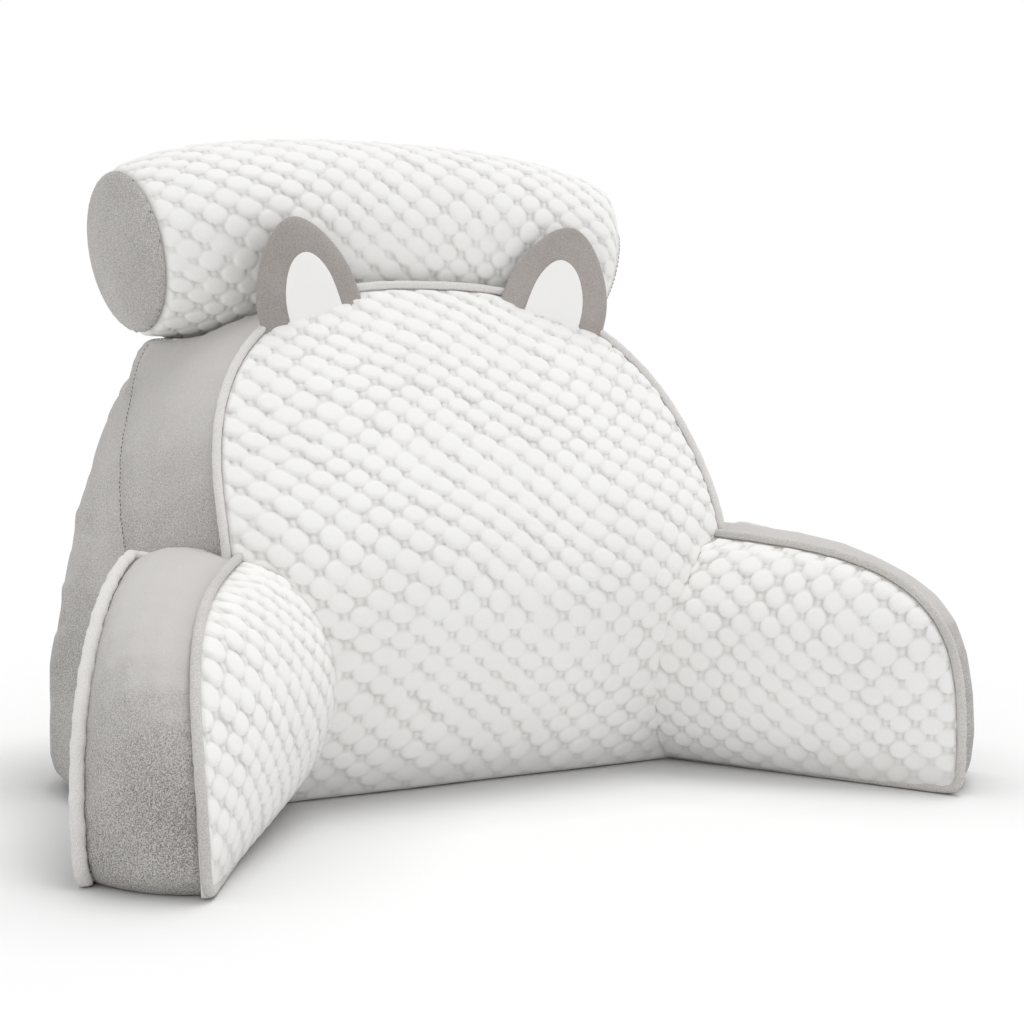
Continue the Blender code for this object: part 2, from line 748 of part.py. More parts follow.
EAR_OUTLINE = [
    # across from the base middle, up (shares of the half base and of the height)
    (-0.98, -0.15),
    (-0.99, 0.12),
    (-0.83, 0.39),
    (-0.62, 0.59),
    (-0.36, 0.77),
    (-0.08, 0.89),
    (0.18, 0.92),
    (0.39, 0.86),
    (0.59, 0.74),
    (0.77, 0.56),
    (0.91, 0.36),
    (1.00, 0.12),
    (1.00, -0.15),
]
EAR_PATCH_OUTLINE = [
    (-0.58, -0.12),
    (-0.49, 0.10),
    (-0.35, 0.31),
    (-0.16, 0.47),
    (0.04, 0.54),
    (0.24, 0.54),
    (0.40, 0.44),
    (0.51, 0.28),
    (0.56, 0.12),
    (0.54, -0.12),
]


def ear_loop(outline, scale, lift):
    """A closed loop of an outline on the ear, scaled about a point above the base."""
    base, across, up, front = ear_frame()
    half = (EAR_INNER_BASE - EAR_OUTER_BASE).length / 2
    tall = (EAR_TIP - base).dot(up)
    loop = []
    for a, b in outline:
        b = EAR_CENTRE + (b - EAR_CENTRE) * scale
        loop.append(base + across * (a * half * scale) + up * (b * tall) + front * lift)
    return loop


def make_ear(collection, material):
    half = EAR_THICK / 2
    sections = [(0.80, -half), (0.94, -half * 0.7), (1.0, 0), (0.94, half * 0.7), (0.80, half)]
    rings = [ear_loop(EAR_OUTLINE, scale, lift) for scale, lift in sections]
    return add_object("ear_right", loft("ear_right", rings), collection, material)


def make_ear_pad(collection, material):
    low = EAR_THICK / 2 + GAP
    sections = [(1.0, low), (1.0, low + EAR_PAD_THICK * 0.5), (0.88, low + EAR_PAD_THICK)]
    rings = [ear_loop(EAR_PATCH_OUTLINE, scale, lift) for scale, lift in sections]
    return add_object("ear_right_inner", loft("ear_right_inner", rings), collection, material)


def ear_wall():
    """A cutter with a smooth face in front of the bubbles and the piping behind an ear."""

    def place(column, row, _):
        x = mix(0.02, 0.26, column / 8)
        z = mix(0.33, 0.52, row / 8)
        return Vector((x, min(front_y(x, z), front_edge_y(z)) - EAR_STAND, z))

    def back(point):
        return Vector((point.x, 0.40, point.z))

    return cutter("ear_wall", quilted("ear_wall", 8, 8, place, back))


def roll_ring(a, radius, count, along=0.0, lifts=None):
    """A ring of the roll at the share a (-1 to 1) of its half length, moved along its axis."""
    turn = Matrix.Rotation(ROLL_TURN, 3, "Z")
    axis = turn @ Vector((ROLL_HALF, -2 * ROLL_BEND * a, -2 * ROLL_DROOP * a)).normalized()
    up = (Vector((0, 0, 1)) - axis * axis.z).normalized()
    rear = up.cross(axis)
    middle = turn @ Vector((ROLL_HALF * a, -ROLL_BEND * a * a, -ROLL_DROOP * a * a))
    centre = Vector((ROLL_X, ROLL_Y, ROLL_Z)) + middle + axis * along
    ring = []
    for k in range(count):
        angle = 2 * math.pi * k / count
        r = radius + (lifts[k] if lifts else 0)
        ring.append(centre + (rear * math.cos(angle) + up * math.sin(angle)) * r)
    return ring


def roll_radius(a):
    return mix(ROLL_RADIUS, ROLL_END_RADIUS, min(1, abs(a)) ** ROLL_POWER)


def end_dome(side, lift, heights, count):
    """Rings of a rounded end of the roll, at shares of its height from the rim."""
    rings = []
    for height in heights:
        radius = ROLL_END_RADIUS * (1 - height ** 2.2) ** (1 / 2.2)
        rings.append(roll_ring(side, radius + lift * 0.5, count, (ROLL_END_DOME * height + lift) * side))
    return rings


def make_roll(collection, material):
    lengths = round(2 * ROLL_HALF / (BUBBLE_ACROSS / 2))
    bm = bmesh.new()
    rows = []
    raised = []
    for i in range(lengths + 1):
        a = 2 * i / lengths - 1
        at_end = i in (0, lengths)
        lifts = [BUBBLE_HEIGHT if (i + k) % 2 == 0 and not at_end else 0 for k in range(ROLL_ROUNDS)]
        rows.append([bm.verts.new(p) for p in roll_ring(a, roll_radius(a), ROLL_ROUNDS, lifts=lifts)])
        raised.append(lifts)
    for row, following, lifts in zip(rows, rows[1:], raised):
        for k in range(ROLL_ROUNDS):
            n = (k + 1) % ROLL_ROUNDS
            corners = [row[k], following[k], following[n], row[n]]
            turn = (rows.index(row) + k) % 2 == 0
            a, b, c, d = corners[1:] + corners[:1] if turn else corners
            bm.faces.new((a, b, c))
            bm.faces.new((a, c, d))
    for side, rim in ((-1, rows[0]), (1, rows[-1])):
        previous = rim
        for ring in end_dome(side, -COVER - 2 * GAP, (0.06, 0.75), ROLL_ROUNDS):
            line = [bm.verts.new(p) for p in ring]
            for k in range(ROLL_ROUNDS):
                n = (k + 1) % ROLL_ROUNDS
                bm.faces.new((previous[k], previous[n], line[n], line[k]))
            previous = line
        bm.faces.new(previous)
    return add_object("neck_roll", finish_mesh(bm, "neck_roll"), collection, material)


def make_roll_cap(name, side, collection, material):
    """An end cap: a thin domed cover on the rounded end of the roll."""
    inner = end_dome(side, -COVER, (0.75, 0.06), ROLL_ROUNDS)
    outer = end_dome(side, 0, (0.06, 0.40, 0.80), ROLL_ROUNDS)
    return add_object(name, loft(name, inner + outer), collection, material)


def roll_room():
    """A cutter that is the space the roll lies in."""
    sides = 24
    rings = []
    for a in [2 * t - 1 for t in steps(20)]:
        radius = (roll_radius(a) + BUBBLE_HEIGHT + GAP) / math.cos(math.pi / sides)
        rings.append(roll_ring(a * 1.1, radius, sides))
    return cutter("neck_roll_room", loft("neck_roll_room", rings))


# ---------------------------------------------------------------- assembly
def build():
    for thing in list(bpy.data.objects):
        bpy.data.objects.remove(thing)
    scene = bpy.context.scene.collection
    for name in ("reading_pillow", "cutters"):
        scene.children.link(bpy.data.collections.new(name))
    pieces = bpy.data.collections["reading_pillow"]
    cover = {name: make_material(name) for name in COVERS}

    make_roll(pieces, cover["quilted_plush"])
    roll_space = roll_room()
    for side, name in ((1, "neck_roll_cap_right"), (-1, "neck_roll_cap_left")):
        make_roll_cap(name, side, pieces, cover["grey_plush"])

    backrest = shape(make_backrest(pieces, cover["grey_plush"]), "DIFFERENCE", [roll_space])
    body_room = grown(backrest)
    back_panel = make_back_panel(pieces, cover["grey_plush"])
    above_floor = cutter("above_floor", prism(
        "above_floor", [(-1, -1), (1, -1), (1, 1), (-1, 1)], lambda x, y, z: Vector((x, y, z)), SKIN_CLEAR, 1))
    shape(back_panel, "INTERSECT", [above_floor])
    shape(back_panel, "DIFFERENCE", [roll_space])

    front_panel = make_front_panel(pieces, cover["quilted_plush"])
    shape(front_panel, "INTERSECT", [outline_prism("front_outline", PANEL_INSET, -GAP / 2)])
    shape(front_panel, "DIFFERENCE", [body_room])
    panel_room = grown(front_panel)
    make_front_bead(pieces, cover["piping_plush"])

    arm = make_arm(pieces, cover["grey_plush"])
    arm_room = grown(arm)
    foot_rooms = [foot_run_room(0), foot_run_room(1)]
    shape(arm, "DIFFERENCE", [body_room, panel_room] + foot_rooms)
    inner_bead = make_arm_bead("arm_right_inner_piping", 0, pieces, cover["piping_plush"])
    outer_bead = make_arm_bead("arm_right_outer_piping", 1, pieces, cover["piping_plush"])
    shape(inner_bead, "DIFFERENCE", [body_room, panel_room])
    shape(outer_bead, "DIFFERENCE", [body_room])

    inner_panel = make_arm_inner_panel(pieces, cover["quilted_plush"])
    inner_cut = prism("arm_inner_outline", arm_outline(0, PANEL_INSET), arm_point, -0.05, 0.12)
    shape(inner_panel, "INTERSECT", [cutter("arm_inner_outline", inner_cut)])
    beside = outline_prism("front_wall", PANEL_INSET, GAP / 2)
    shape(inner_panel, "DIFFERENCE", [body_room, arm_room, beside, foot_rooms[0]])
    outer_panel = make_arm_outer_panel(pieces, cover["grey_plush"])
    outer_cut = prism("arm_outer_outline", arm_outline(1, PANEL_INSET), arm_point, -0.14, -0.06)
    shape(outer_panel, "INTERSECT", [cutter("arm_outer_outline", outer_cut)])
    shape(outer_panel, "DIFFERENCE", [body_room, arm_room, foot_rooms[1]])

    ear = make_ear(pieces, cover["ear_plush"])
    pad = make_ear_pad(pieces, cover["ear_satin"])
    wall = ear_wall()
    shape(ear, "DIFFERENCE", [wall])
    shape(pad, "DIFFERENCE", [wall])

    for piece in (arm, inner_panel, outer_panel, inner_bead, outer_bead, ear, pad):
        mirrored(piece, piece.name.replace("right", "left"))
    for piece in pieces.objects:
        piece.data.transform(Matrix.Translation((0, -ORIGIN_Y, 0)))


build()
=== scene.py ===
# %% [markdown]
# # A reading pillow with arms, ears and a neck roll
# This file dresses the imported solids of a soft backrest.  The real one is sewn from two plush cloths:
# a grey short pile for the sides, strips and back, and a white cloth quilted into round bubbles for
# every face that a reader leans on.  Each step says what the real piece is, and how it is made here.

import math

import bmesh
import bpy
import numpy as np
from mathutils import Matrix, Vector
from mathutils.kdtree import KDTree


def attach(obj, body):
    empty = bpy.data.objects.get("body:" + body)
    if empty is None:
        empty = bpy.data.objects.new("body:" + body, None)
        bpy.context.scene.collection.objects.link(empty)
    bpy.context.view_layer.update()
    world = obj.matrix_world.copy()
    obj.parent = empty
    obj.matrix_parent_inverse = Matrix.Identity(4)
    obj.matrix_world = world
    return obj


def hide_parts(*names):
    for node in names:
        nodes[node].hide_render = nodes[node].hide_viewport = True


def placed(name, data):
    """A new object with the given data, linked to the scene."""
    thing = bpy.data.objects.new(name, data)
    bpy.context.scene.collection.objects.link(thing)
    return thing


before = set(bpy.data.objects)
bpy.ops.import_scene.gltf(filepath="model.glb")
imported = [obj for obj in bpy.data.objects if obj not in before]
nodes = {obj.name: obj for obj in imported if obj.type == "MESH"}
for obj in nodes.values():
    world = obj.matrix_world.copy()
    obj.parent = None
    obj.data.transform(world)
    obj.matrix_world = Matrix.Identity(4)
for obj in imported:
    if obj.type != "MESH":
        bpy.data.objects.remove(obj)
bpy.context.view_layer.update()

# %% [markdown]
# ## The camera
# It stands a little left of the pillow's front, at the height of its shoulders, and looks slightly
# down.  A long lens keeps the arms from looking stretched.

# %% Camera
YAW = math.radians(27.602)
PITCH = math.radians(4.554)
LENS = 63.28  # in mm, on a 36 mm wide sensor
CAMERA_AT = (-0.7348, -1.4939, 0.3782)

camera_data = bpy.data.cameras.new("camera")
camera_data.sensor_width = 36
camera_data.lens = LENS
camera = placed("camera", camera_data)
camera.location = CAMERA_AT
look = Vector((math.sin(YAW) * math.cos(PITCH), math.cos(YAW) * math.cos(PITCH), -math.sin(PITCH)))
camera.rotation_euler = look.to_track_quat("-Z", "Y").to_euler()
bpy.context.scene.camera = camera
print("camera at", [round(c, 3) for c in camera.location])

# %% [markdown]
# ## Colours and a helper for materials
# Colours are written as the sRGB hex values that a colour picker shows.  A shader wants linear
# values, so one function turns them.  Another adds a node with its settings and links in one call.

# %% Material helpers
def linear(hex_colour):
    """An sRGB hex colour as the linear RGBA that a shader takes."""
    channels = [int(hex_colour[i:i + 2], 16) / 255 for i in (0, 2, 4)]
    return (*(c / 12.92 if c <= 0.04045 else ((c + 0.055) / 1.055) ** 2.4 for c in channels), 1)


def add(tree, kind, inputs, **settings):
    """A shader node with its settings. An input is linked to a socket, or set to a plain value."""
    made = tree.nodes.new(kind)
    for name, value in settings.items():
        setattr(made, name, value)
    for key, value in inputs.items():
        if isinstance(value, bpy.types.NodeSocket):
            tree.links.new(value, made.inputs[key])
        else:
            made.inputs[key].default_value = value
    return made


def mixed(tree, share, dark, light):
    """The socket of a colour between two others."""
    return add(tree, "ShaderNodeMix", {0: share, 6: dark, 7: light}, data_type="RGBA").outputs[2]


def noise(tree, place, scale, detail=2.0):
    """The socket of a soft random pattern."""
    node = add(tree, "ShaderNodeTexNoise", {"Vector": place, "Scale": scale, "Detail": detail})
    return node.outputs["Fac"]


def spread(tree, value, low, high, to_low=0.0, to_high=1.0):
    """The socket of a value moved from one range to another."""
    ends = {0: value, 1: low, 2: high, 3: to_low, 4: to_high}
    return add(tree, "ShaderNodeMapRange", ends).outputs["Result"]


def maths(tree, operation, a, b, clamp=False):
    node = add(tree, "ShaderNodeMath", {0: a, 1: b}, operation=operation, use_clamp=clamp)
    return node.outputs["Value"]


def kept(tree, name):
    """The socket of a value that the mesh keeps at each of its points."""
    return add(tree, "ShaderNodeAttribute", {}, attribute_name=name).outputs["Fac"]


def fabric(name, roughness, sheen):
    """A material's node tree with its Principled shader and its object coordinates."""
    material = bpy.data.materials.new(name)
    material.use_nodes = True
    tree = material.node_tree
    shader = tree.nodes["Principled BSDF"]
    shader.inputs["Roughness"].default_value = roughness
    shader.inputs["Sheen Weight"].default_value = sheen
    shader.inputs["Sheen Roughness"].default_value = 0.5
    shader.inputs["Specular IOR Level"].default_value = 0.2
    place = add(tree, "ShaderNodeTexCoord", {}).outputs["Object"]
    return material, tree, shader, place


# %% [markdown]
# ## The plush cloths
# Crystal plush is knitted polyester with a pile under 2 mm long.  The eye sees no threads, only a
# fine salt-and-pepper grain where tufts lean to or from the light, and broad lighter and darker
# strokes where a hand has brushed the pile.  Faces that look up get a painted highlight: an
# attribute kept at each point moves their colour toward the light tone.  The quilted cloth gets
# painted shade in its valleys, where quilt_height is low.  A tuft is about 0.5 mm wide, too fine to
# show from here, so the grain is drawn at about 1 mm.

# %% Plush materials
TUFT = 0.0010  # size of the grain, in metres like all lengths here
STROKE = 0.09  # size of a brushed stroke
GRAIN_DEPTH = 0.0006
TOP_LIGHT_SHARE = 0.9  # painted highlight: how far a face that looks up is painted toward the light colour
VALLEY_SHADE_TOP = 0.6  # painted shade: the share of a bubble's height up to which the valleys are painted greyer


def plush(name, light, dark, grain, nap, bump, roughness=0.92, valley_shade=None):
    """Short-pile plush: fine grain, broad strokes of the nap, and a soft bumpy surface.
    Faces that look up get a painted highlight, and a quilted cloth can get painted shade in its
    valleys.
    """
    material, tree, shader, place = fabric(name, roughness, 0.15)
    tufts = noise(tree, place, 1 / TUFT)
    clumps = noise(tree, place, 0.25 / TUFT)
    strokes = noise(tree, place, 1 / STROKE, 3.0)
    fine = spread(tree, tufts, 0.36, 0.64, 0.5 - grain / 2, 0.5 + grain / 2)
    broad = spread(tree, strokes, 0.3, 0.7, -nap / 2, nap / 2)
    colour = mixed(tree, maths(tree, "ADD", fine, broad, clamp=True), linear(dark), linear(light))
    # painted highlight: faces that look up are painted toward the light colour
    top_light_share = maths(tree, "MULTIPLY", kept(tree, "painted_top_light"), TOP_LIGHT_SHARE)
    colour = mixed(tree, top_light_share, colour, linear(light))
    # painted shade: where quilt_height is low, the valleys are painted greyer
    if valley_shade:
        unshaded_part = spread(tree, kept(tree, "quilt_height"), 0.0, VALLEY_SHADE_TOP)
        colour = mixed(tree, unshaded_part, linear(valley_shade), colour)
    tree.links.new(colour, shader.inputs["Base Color"])
    height = maths(tree, "ADD", tufts, clumps)
    relief = add(tree, "ShaderNodeBump", {"Strength": bump, "Distance": GRAIN_DEPTH, "Height": height})
    tree.links.new(relief.outputs["Normal"], shader.inputs["Normal"])
    return material


cloths = {
    "grey_plush": plush("grey_crystal_plush", "D0CDCA", "827E7B", grain=1.0, nap=0.30, bump=0.5),
    # the quilted plush's last colour is painted shade for its valleys
    "quilted_plush": plush("white_quilted_plush", "F9F9F7", "F2F1EF", grain=0.35, nap=0.4, bump=0.12,
                           valley_shade="DFDDDA"),
    "piping_plush": plush("pale_piping_plush", "EFEDEB", "D2CFCC", grain=0.55, nap=0.3, bump=0.3),
    "inner_piping": plush("grey_piping_plush", "DFDCD9", "BAB7B3", grain=0.7, nap=0.3, bump=0.35),
    "ear_plush": plush("ash_short_plush", "BDB7B3", "98928E", grain=0.6, nap=0.5, bump=0.35),
    "ear_satin": plush("white_satin", "FFFFFD", "F6F5F3", grain=0.15, nap=0.5, bump=0.05,
                       roughness=0.55),
}
print("materials:", ", ".join(m.name for m in cloths.values()))

# %% [markdown]
# Sewing thread is spun polyester, a dark taupe here.  A stitch is under 1 mm thick, so it needs no
# more than the lighter and darker bands of its twist, and a slight gloss.

# %% Thread material
TWISTS_PER_METRE = 900.0


def thread_material():
    material, tree, shader, place = fabric("taupe_thread", 0.7, 0.1)
    twist = noise(tree, place, TWISTS_PER_METRE, 1.0)
    colour = mixed(tree, twist, linear("5C5754"), linear("8A8480"))
    tree.links.new(colour, shader.inputs["Base Color"])
    return material


cloths["thread"] = thread_material()
print("material:", cloths["thread"].name)

# %% [markdown]
# ## The pillow's own measures
# The visual pieces follow the same rules as the solids: a domed front that leans back from the
# height of the arms, two arms that splay outward, and a roll that droops toward its ends.  All
# lengths are in metres.

# %% Measures
FOOT_Y = -0.0362
ARM_TOP, FRONT_HALF, FRONT_RISE, FRONT_POWER = 0.219, 0.2465, 0.2355, 2.6
FRONT_SLOPE, FRONT_SLOPE_BLEND, FRONT_FOOT_LEAN, FRONT_CROWN = 0.61, 0.05, 0.0208, 0.036
BACK_HALF, BACK_FOOT_HALF, BACK_RISE, BACK_POWER = 0.3090, 0.352, 0.3317, 2.9
BACK_LEAN, BACK_SPRING, BACK_FOOT_Y = math.radians(30.3), (0.0333, 0.1716), 0.0218
ARM_ROOT_X, ARM_SPLAY, ARM_LEAN, ARM_WIDTH = 0.2039, math.radians(29.8), 0.1035, 0.0975
CROWN_POWER = 3.5  # the higher, the flatter the front is between its seams
ARM_BOW = 0.0045  # how far the front of the inner face bows inward at half height
ARM_REACH = (0.2829, 0.2547)  # of the inner and the outer face
ARM_HEIGHT = (0.219, 0.2169)
ARM_POWER = (3.9, 2.03)
ARM_TAPER = 0.0605
ARM_SWELL, ARM_SWELL_POWER, ARM_SWELL_RISE = 0.0663, 0.534, 1.293
ARM_SWELL_FADE, ARM_SHOULDER = 1.51, 0.0095
FOOT_ROUNDING, FOOT_HEIGHT, FOOT_POWER = 0.012, 0.022, 2.2


def round_part(share, power):
    """A point of a quarter superellipse: (falls from 1 to 0, rises from 0 to 1)."""
    angle = share * math.pi / 2
    return (0, 1) if share >= 1 else (math.cos(angle) ** (2 / power), math.sin(angle) ** (2 / power))


def dome_point(share):
    """A point (x, z) of the dome's seam: share goes from 0 at the arm to 1 at the top."""
    across, up = round_part(share, FRONT_POWER)
    return FRONT_HALF * across, ARM_TOP + FRONT_RISE * up


def drawn_in(z):
    """How far an edge is drawn in just above the floor."""
    return FOOT_ROUNDING * np.maximum(0, 1 - np.asarray(z) / FOOT_HEIGHT) ** FOOT_POWER


def front_edge_y(z):
    """y of the front panel's outline at height z."""
    z = np.asarray(z, float)
    foot = -FRONT_FOOT_LEAN * np.minimum(1, z / (ARM_TOP - FRONT_SLOPE_BLEND))
    t = z - ARM_TOP
    bend = np.where(t <= -FRONT_SLOPE_BLEND, 0, np.where(
        t >= FRONT_SLOPE_BLEND, t, (t + FRONT_SLOPE_BLEND) ** 2 / (4 * FRONT_SLOPE_BLEND)))
    return FOOT_Y + foot + FRONT_SLOPE * bend


def front_y(x, z):
    """y of the front panel's surface between the bubbles."""
    across = np.abs(x) / FRONT_HALF
    share = np.maximum(0, z) / ARM_TOP
    low = (1 - across ** CROWN_POWER) * (1 - (1 - np.minimum(1, share)) ** 3)
    up = np.maximum(0, z - ARM_TOP) / FRONT_RISE
    high = 1 - ((across ** FRONT_POWER + up ** FRONT_POWER) ** (1 / FRONT_POWER)) ** CROWN_POWER
    return front_edge_y(z) - FRONT_CROWN * np.maximum(np.where(z < ARM_TOP, low, high), -0.6)


def arm_point(s, z, inward):
    """Points of the right arm: s along it, z up, and inward toward the seat."""
    s, z, inward = np.broadcast_arrays(*(np.asarray(a, float) for a in (s, z, inward)))
    upright = np.sin(np.pi * np.clip(z / ARM_TOP, 0, 1))
    inside = 1 - np.clip(-inward / ARM_WIDTH, 0, 1)
    side = ARM_LEAN * z - ARM_BOW * upright * np.clip(s / ARM_REACH[0], 0, 1) * inside - inward
    x = ARM_ROOT_X + math.sin(ARM_SPLAY) * s + math.cos(ARM_SPLAY) * side
    y = FOOT_Y - math.cos(ARM_SPLAY) * s + math.sin(ARM_SPLAY) * side
    return np.stack([x, y, z], axis=-1)


def arm_edge(share, side):
    """A point (s, z) of an arm's edge. side is 0 at the inner face and 1 at the outer one."""
    up, forward = round_part(share, ARM_POWER[side])
    s = ARM_REACH[side] * forward
    z = (ARM_HEIGHT[side] - ARM_TAPER * s) * up
    return s - float(drawn_in(z)), z


def arm_swell(s, z):
    """How far the inner face stands inward of its edge."""
    s, z = np.asarray(s, float), np.asarray(z, float)
    share = np.clip(s / ARM_REACH[0], 0, 1)
    edge = (ARM_TOP - ARM_TAPER * np.maximum(0, s)) * (1 - share ** ARM_POWER[0]) ** (1 / ARM_POWER[0])
    edge = np.maximum(edge, 0.001)
    height = np.clip(z / edge, 0, 1)
    upright = np.maximum(0, np.sin(np.pi * height ** ARM_SWELL_RISE)) ** ARM_SWELL_POWER
    shoulder = np.clip((edge - z) / ARM_SHOULDER, 0, 1)
    return ARM_SWELL * upright * shoulder * (1 - share ** ARM_SWELL_FADE)


def seam_s(z):
    """How far along the arm its inner face meets the front panel at height z."""
    low, high = -0.06, 0.12
    for _ in range(30):
        s = (low + high) / 2
        x, y, _z = arm_point(s, z, arm_swell(s, z))
        low, high = (low, s) if y < front_y(x, z) else (s, high)
    return s


arm_seam = [(seam_s(z), z) for z in np.linspace(0, ARM_TOP - 0.0005, 60)]
arm_seam_points = [arm_point(s, z, arm_swell(s, z)) for s, z in arm_seam]
print("the arm meets the front panel from x =", round(float(arm_seam_points[0][0]), 3),
      "at the floor to", round(float(arm_seam_points[-1][0]), 3), "at its top")

# %% [markdown]
# ## The quilting
# The cloth is held down to a thin wadding along narrow valleys, and swells between them into round
# bubbles with steep sides and soft, flat tops, on the diagonals of a 32 by 27 mm lattice.  A bubble
# is about 23 mm wide and meets its four neighbours, which stand 21 mm away.  Along one diagonal the
# bubbles run together into scalloped rows, more in some regions than in others, and each stands up
# most at its lower left, like a scale.  A low pillow of cloth fills the space between four bubbles.
# Rows wander, and sizes differ.  The height of the cloth is worked out for every point at once, in
# lattice steps (u across, v up).

# %% Height of the quilted cloth
HALF_ACROSS, HALF_UP = 0.016, 0.0135  # half a repeat of the lattice
BUBBLE_HEIGHT, BUBBLE_RADIUS = 0.0037, 0.0114
BUBBLE_POWER = 4.6  # the higher, the steeper the sides and the flatter the top
LEVEL, TILT = 0.82, 0.30  # height of a bubble's middle, and what its lower left adds
RIDGE_WIDTH = 0.66  # of the ridge between two bubbles of a row, in bubble radii
LOW_ACROSS, LOW_UP, LOW_HEIGHT = 0.0036, 0.0050, 0.42  # the low pillow between four bubbles
random = np.random.default_rng(7)
TABLE = 128  # size of the tables of random numbers, which repeat after it
size_jitter = random.normal(0, 0.035, (TABLE, TABLE))
place_jitter = random.normal(0, 0.05, (2, TABLE, TABLE))
height_jitter = random.normal(0, 0.07, (TABLE, TABLE))
runs_together = random.random((TABLE, TABLE))


def wander(u, v, seed):
    """Slow waves that bend the rows of bubbles, in lattice steps."""
    du = 0.30 * np.sin(0.31 * v + 0.7 + seed) + 0.16 * np.sin(0.53 * u - 0.41 * v + 2.1 * seed)
    dv = 0.26 * np.sin(0.37 * u - 0.9 + seed) + 0.18 * np.sin(0.29 * u + 0.61 * v + 1.3 * seed)
    return u + du, v + dv


def quilting(u, v, seed, across=HALF_ACROSS, joined=0.46):
    """Height of the cloth, from 0 in the valleys to about 1. joined is the height of the ridges."""
    u, v = wander(u, v, seed)
    region = np.sin(0.23 * u + 0.17 * v + 1.7 * seed) * np.sin(0.19 * v - 0.11 * u + seed)
    region = joined + 0.25 * region
    stretch = math.sqrt(across / HALF_UP)
    mean_radius = BUBBLE_RADIUS * (across + HALF_UP) / (HALF_ACROSS + HALF_UP)
    a0, b0 = np.round((u + v) / 2), np.round((u - v) / 2)
    height = np.zeros_like(u)
    for da in (-1, 0, 1):
        for db in (-1, 0, 1):
            a, b = (a0 + da).astype(int), (b0 + db).astype(int)
            i, j = a % TABLE, b % TABLE
            n = (b + 1) % TABLE
            radius = mean_radius * (1 + size_jitter[i, j])
            x = (u - a - b - place_jitter[0, i, j]) * across
            y = (v - a + b - place_jitter[1, i, j]) * HALF_UP
            tilt = LEVEL + TILT * np.clip((-0.6 * x - y) / (1.1 * radius), -1, 1)
            tilt = tilt * (1 + height_jitter[i, j])
            out = np.clip(np.hypot(x / stretch, y * stretch) / radius, 0, 1)
            bubble = (1 - out ** BUBBLE_POWER) ** 0.5 * tilt
            ex = (1 + place_jitter[0, i, n] - place_jitter[0, i, j]) * across
            ey = (-1 + place_jitter[1, i, n] - place_jitter[1, i, j]) * HALF_UP
            t = np.clip((x * ex + y * ey) / (ex * ex + ey * ey), 0, 1)
            r = np.hypot(x - t * ex, y - t * ey) / (radius * RIDGE_WIDTH)
            tall = np.clip(region + 0.3 * (runs_together[i, j] - 0.5), 0.05, 0.8)
            ridge = tall * (1 - np.clip(r, 0, 1) ** 3) ** 0.5
            r = np.hypot((x - across) / LOW_ACROSS, y / LOW_UP)
            low = LOW_HEIGHT * (1 - np.clip(r, 0, 1) ** 2)
            height = np.maximum.reduce([height, bubble, ridge, low])
    return height


print("a bubble is", round(BUBBLE_RADIUS * 2000, 1), "mm wide and", BUBBLE_HEIGHT * 1000, "mm high")

# %% [markdown]
# ## Panels cut to an outline
# A quilted panel starts as a flat grid of small squares, as if it were still the uncut cloth.  What
# lies outside the paper pattern is cut away, and the cut edge is drawn onto the pattern's line.
# Then every point is put where the panel is on the pillow, and the quilting is raised along the
# normals.  Near a seam the cloth is drawn in and its bubbles are pressed flat.

# %% Tools for panels
PANEL_CELL = 0.0015  # side of a grid square
SEAM_TUCK, TUCK_WIDTH = 0.0010, 0.006  # how deep and how wide a panel sinks at its seams
SEAM_FADE = 0.004  # this close to a seam the bubbles are pressed flat
SEAM_EDGE = 0.0012  # this close to a seam the cloth gets no painted valley shade


def against_outline(points, outline):
    """For each point: inside the closed outline or not, its distance, and the nearest outline point."""
    inside = np.zeros(len(points), bool)
    best = np.full(len(points), 1e9)
    nearest = np.zeros_like(points)
    for a, b in zip(outline, np.roll(outline, -1, axis=0)):
        run = b - a
        t = np.clip(((points - a) @ run) / max(run @ run, 1e-12), 0, 1)
        foot = a + t[:, None] * run
        gap = np.hypot(*(points - foot).T)
        closer = gap < best
        best[closer] = gap[closer]
        nearest[closer] = foot[closer]
        crosses = (a[1] > points[:, 1]) != (b[1] > points[:, 1])
        if crosses.any():
            at = a[0] + (points[:, 1] - a[1]) / (b[1] - a[1] + 1e-15) * run[0]
            inside ^= crosses & (points[:, 0] < at)
    return inside, best, nearest


def to_mesh(name, bm):
    """The mesh that was edited, with its normals outward."""
    bmesh.ops.recalc_face_normals(bm, faces=bm.faces)
    mesh = bpy.data.meshes.new(name)
    bm.to_mesh(mesh)
    bm.free()
    return mesh


def to_piece(name, bm, cloth):
    """A finished piece: an object at the origin with a smooth-shaded mesh."""
    mesh = to_mesh(name, bm)
    mesh.shade_smooth()
    mesh.materials.append(cloths[cloth])
    piece = placed(name, mesh)
    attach(piece, "root")
    print(f"{name}: {len(mesh.vertices)} points")
    return piece


def co_array(bm):
    return np.array([v.co for v in bm.verts])


def smoothstep(x):
    x = np.clip(x, 0, 1)
    return x * x * (3 - 2 * x)


def panel_normal(bm):
    """The mean direction that an open panel's faces point to."""
    total = Vector()
    for face in bm.faces:
        total += face.normal * face.calc_area()
    return total.normalized()


def keep_heights(bm, heights):
    """Keep each point's share of the bubble height for the material, which paints shade where it is
    low.
    """
    layer = bm.verts.layers.float.new("quilt_height")
    for vert, height in zip(bm.verts, heights):
        vert[layer] = height


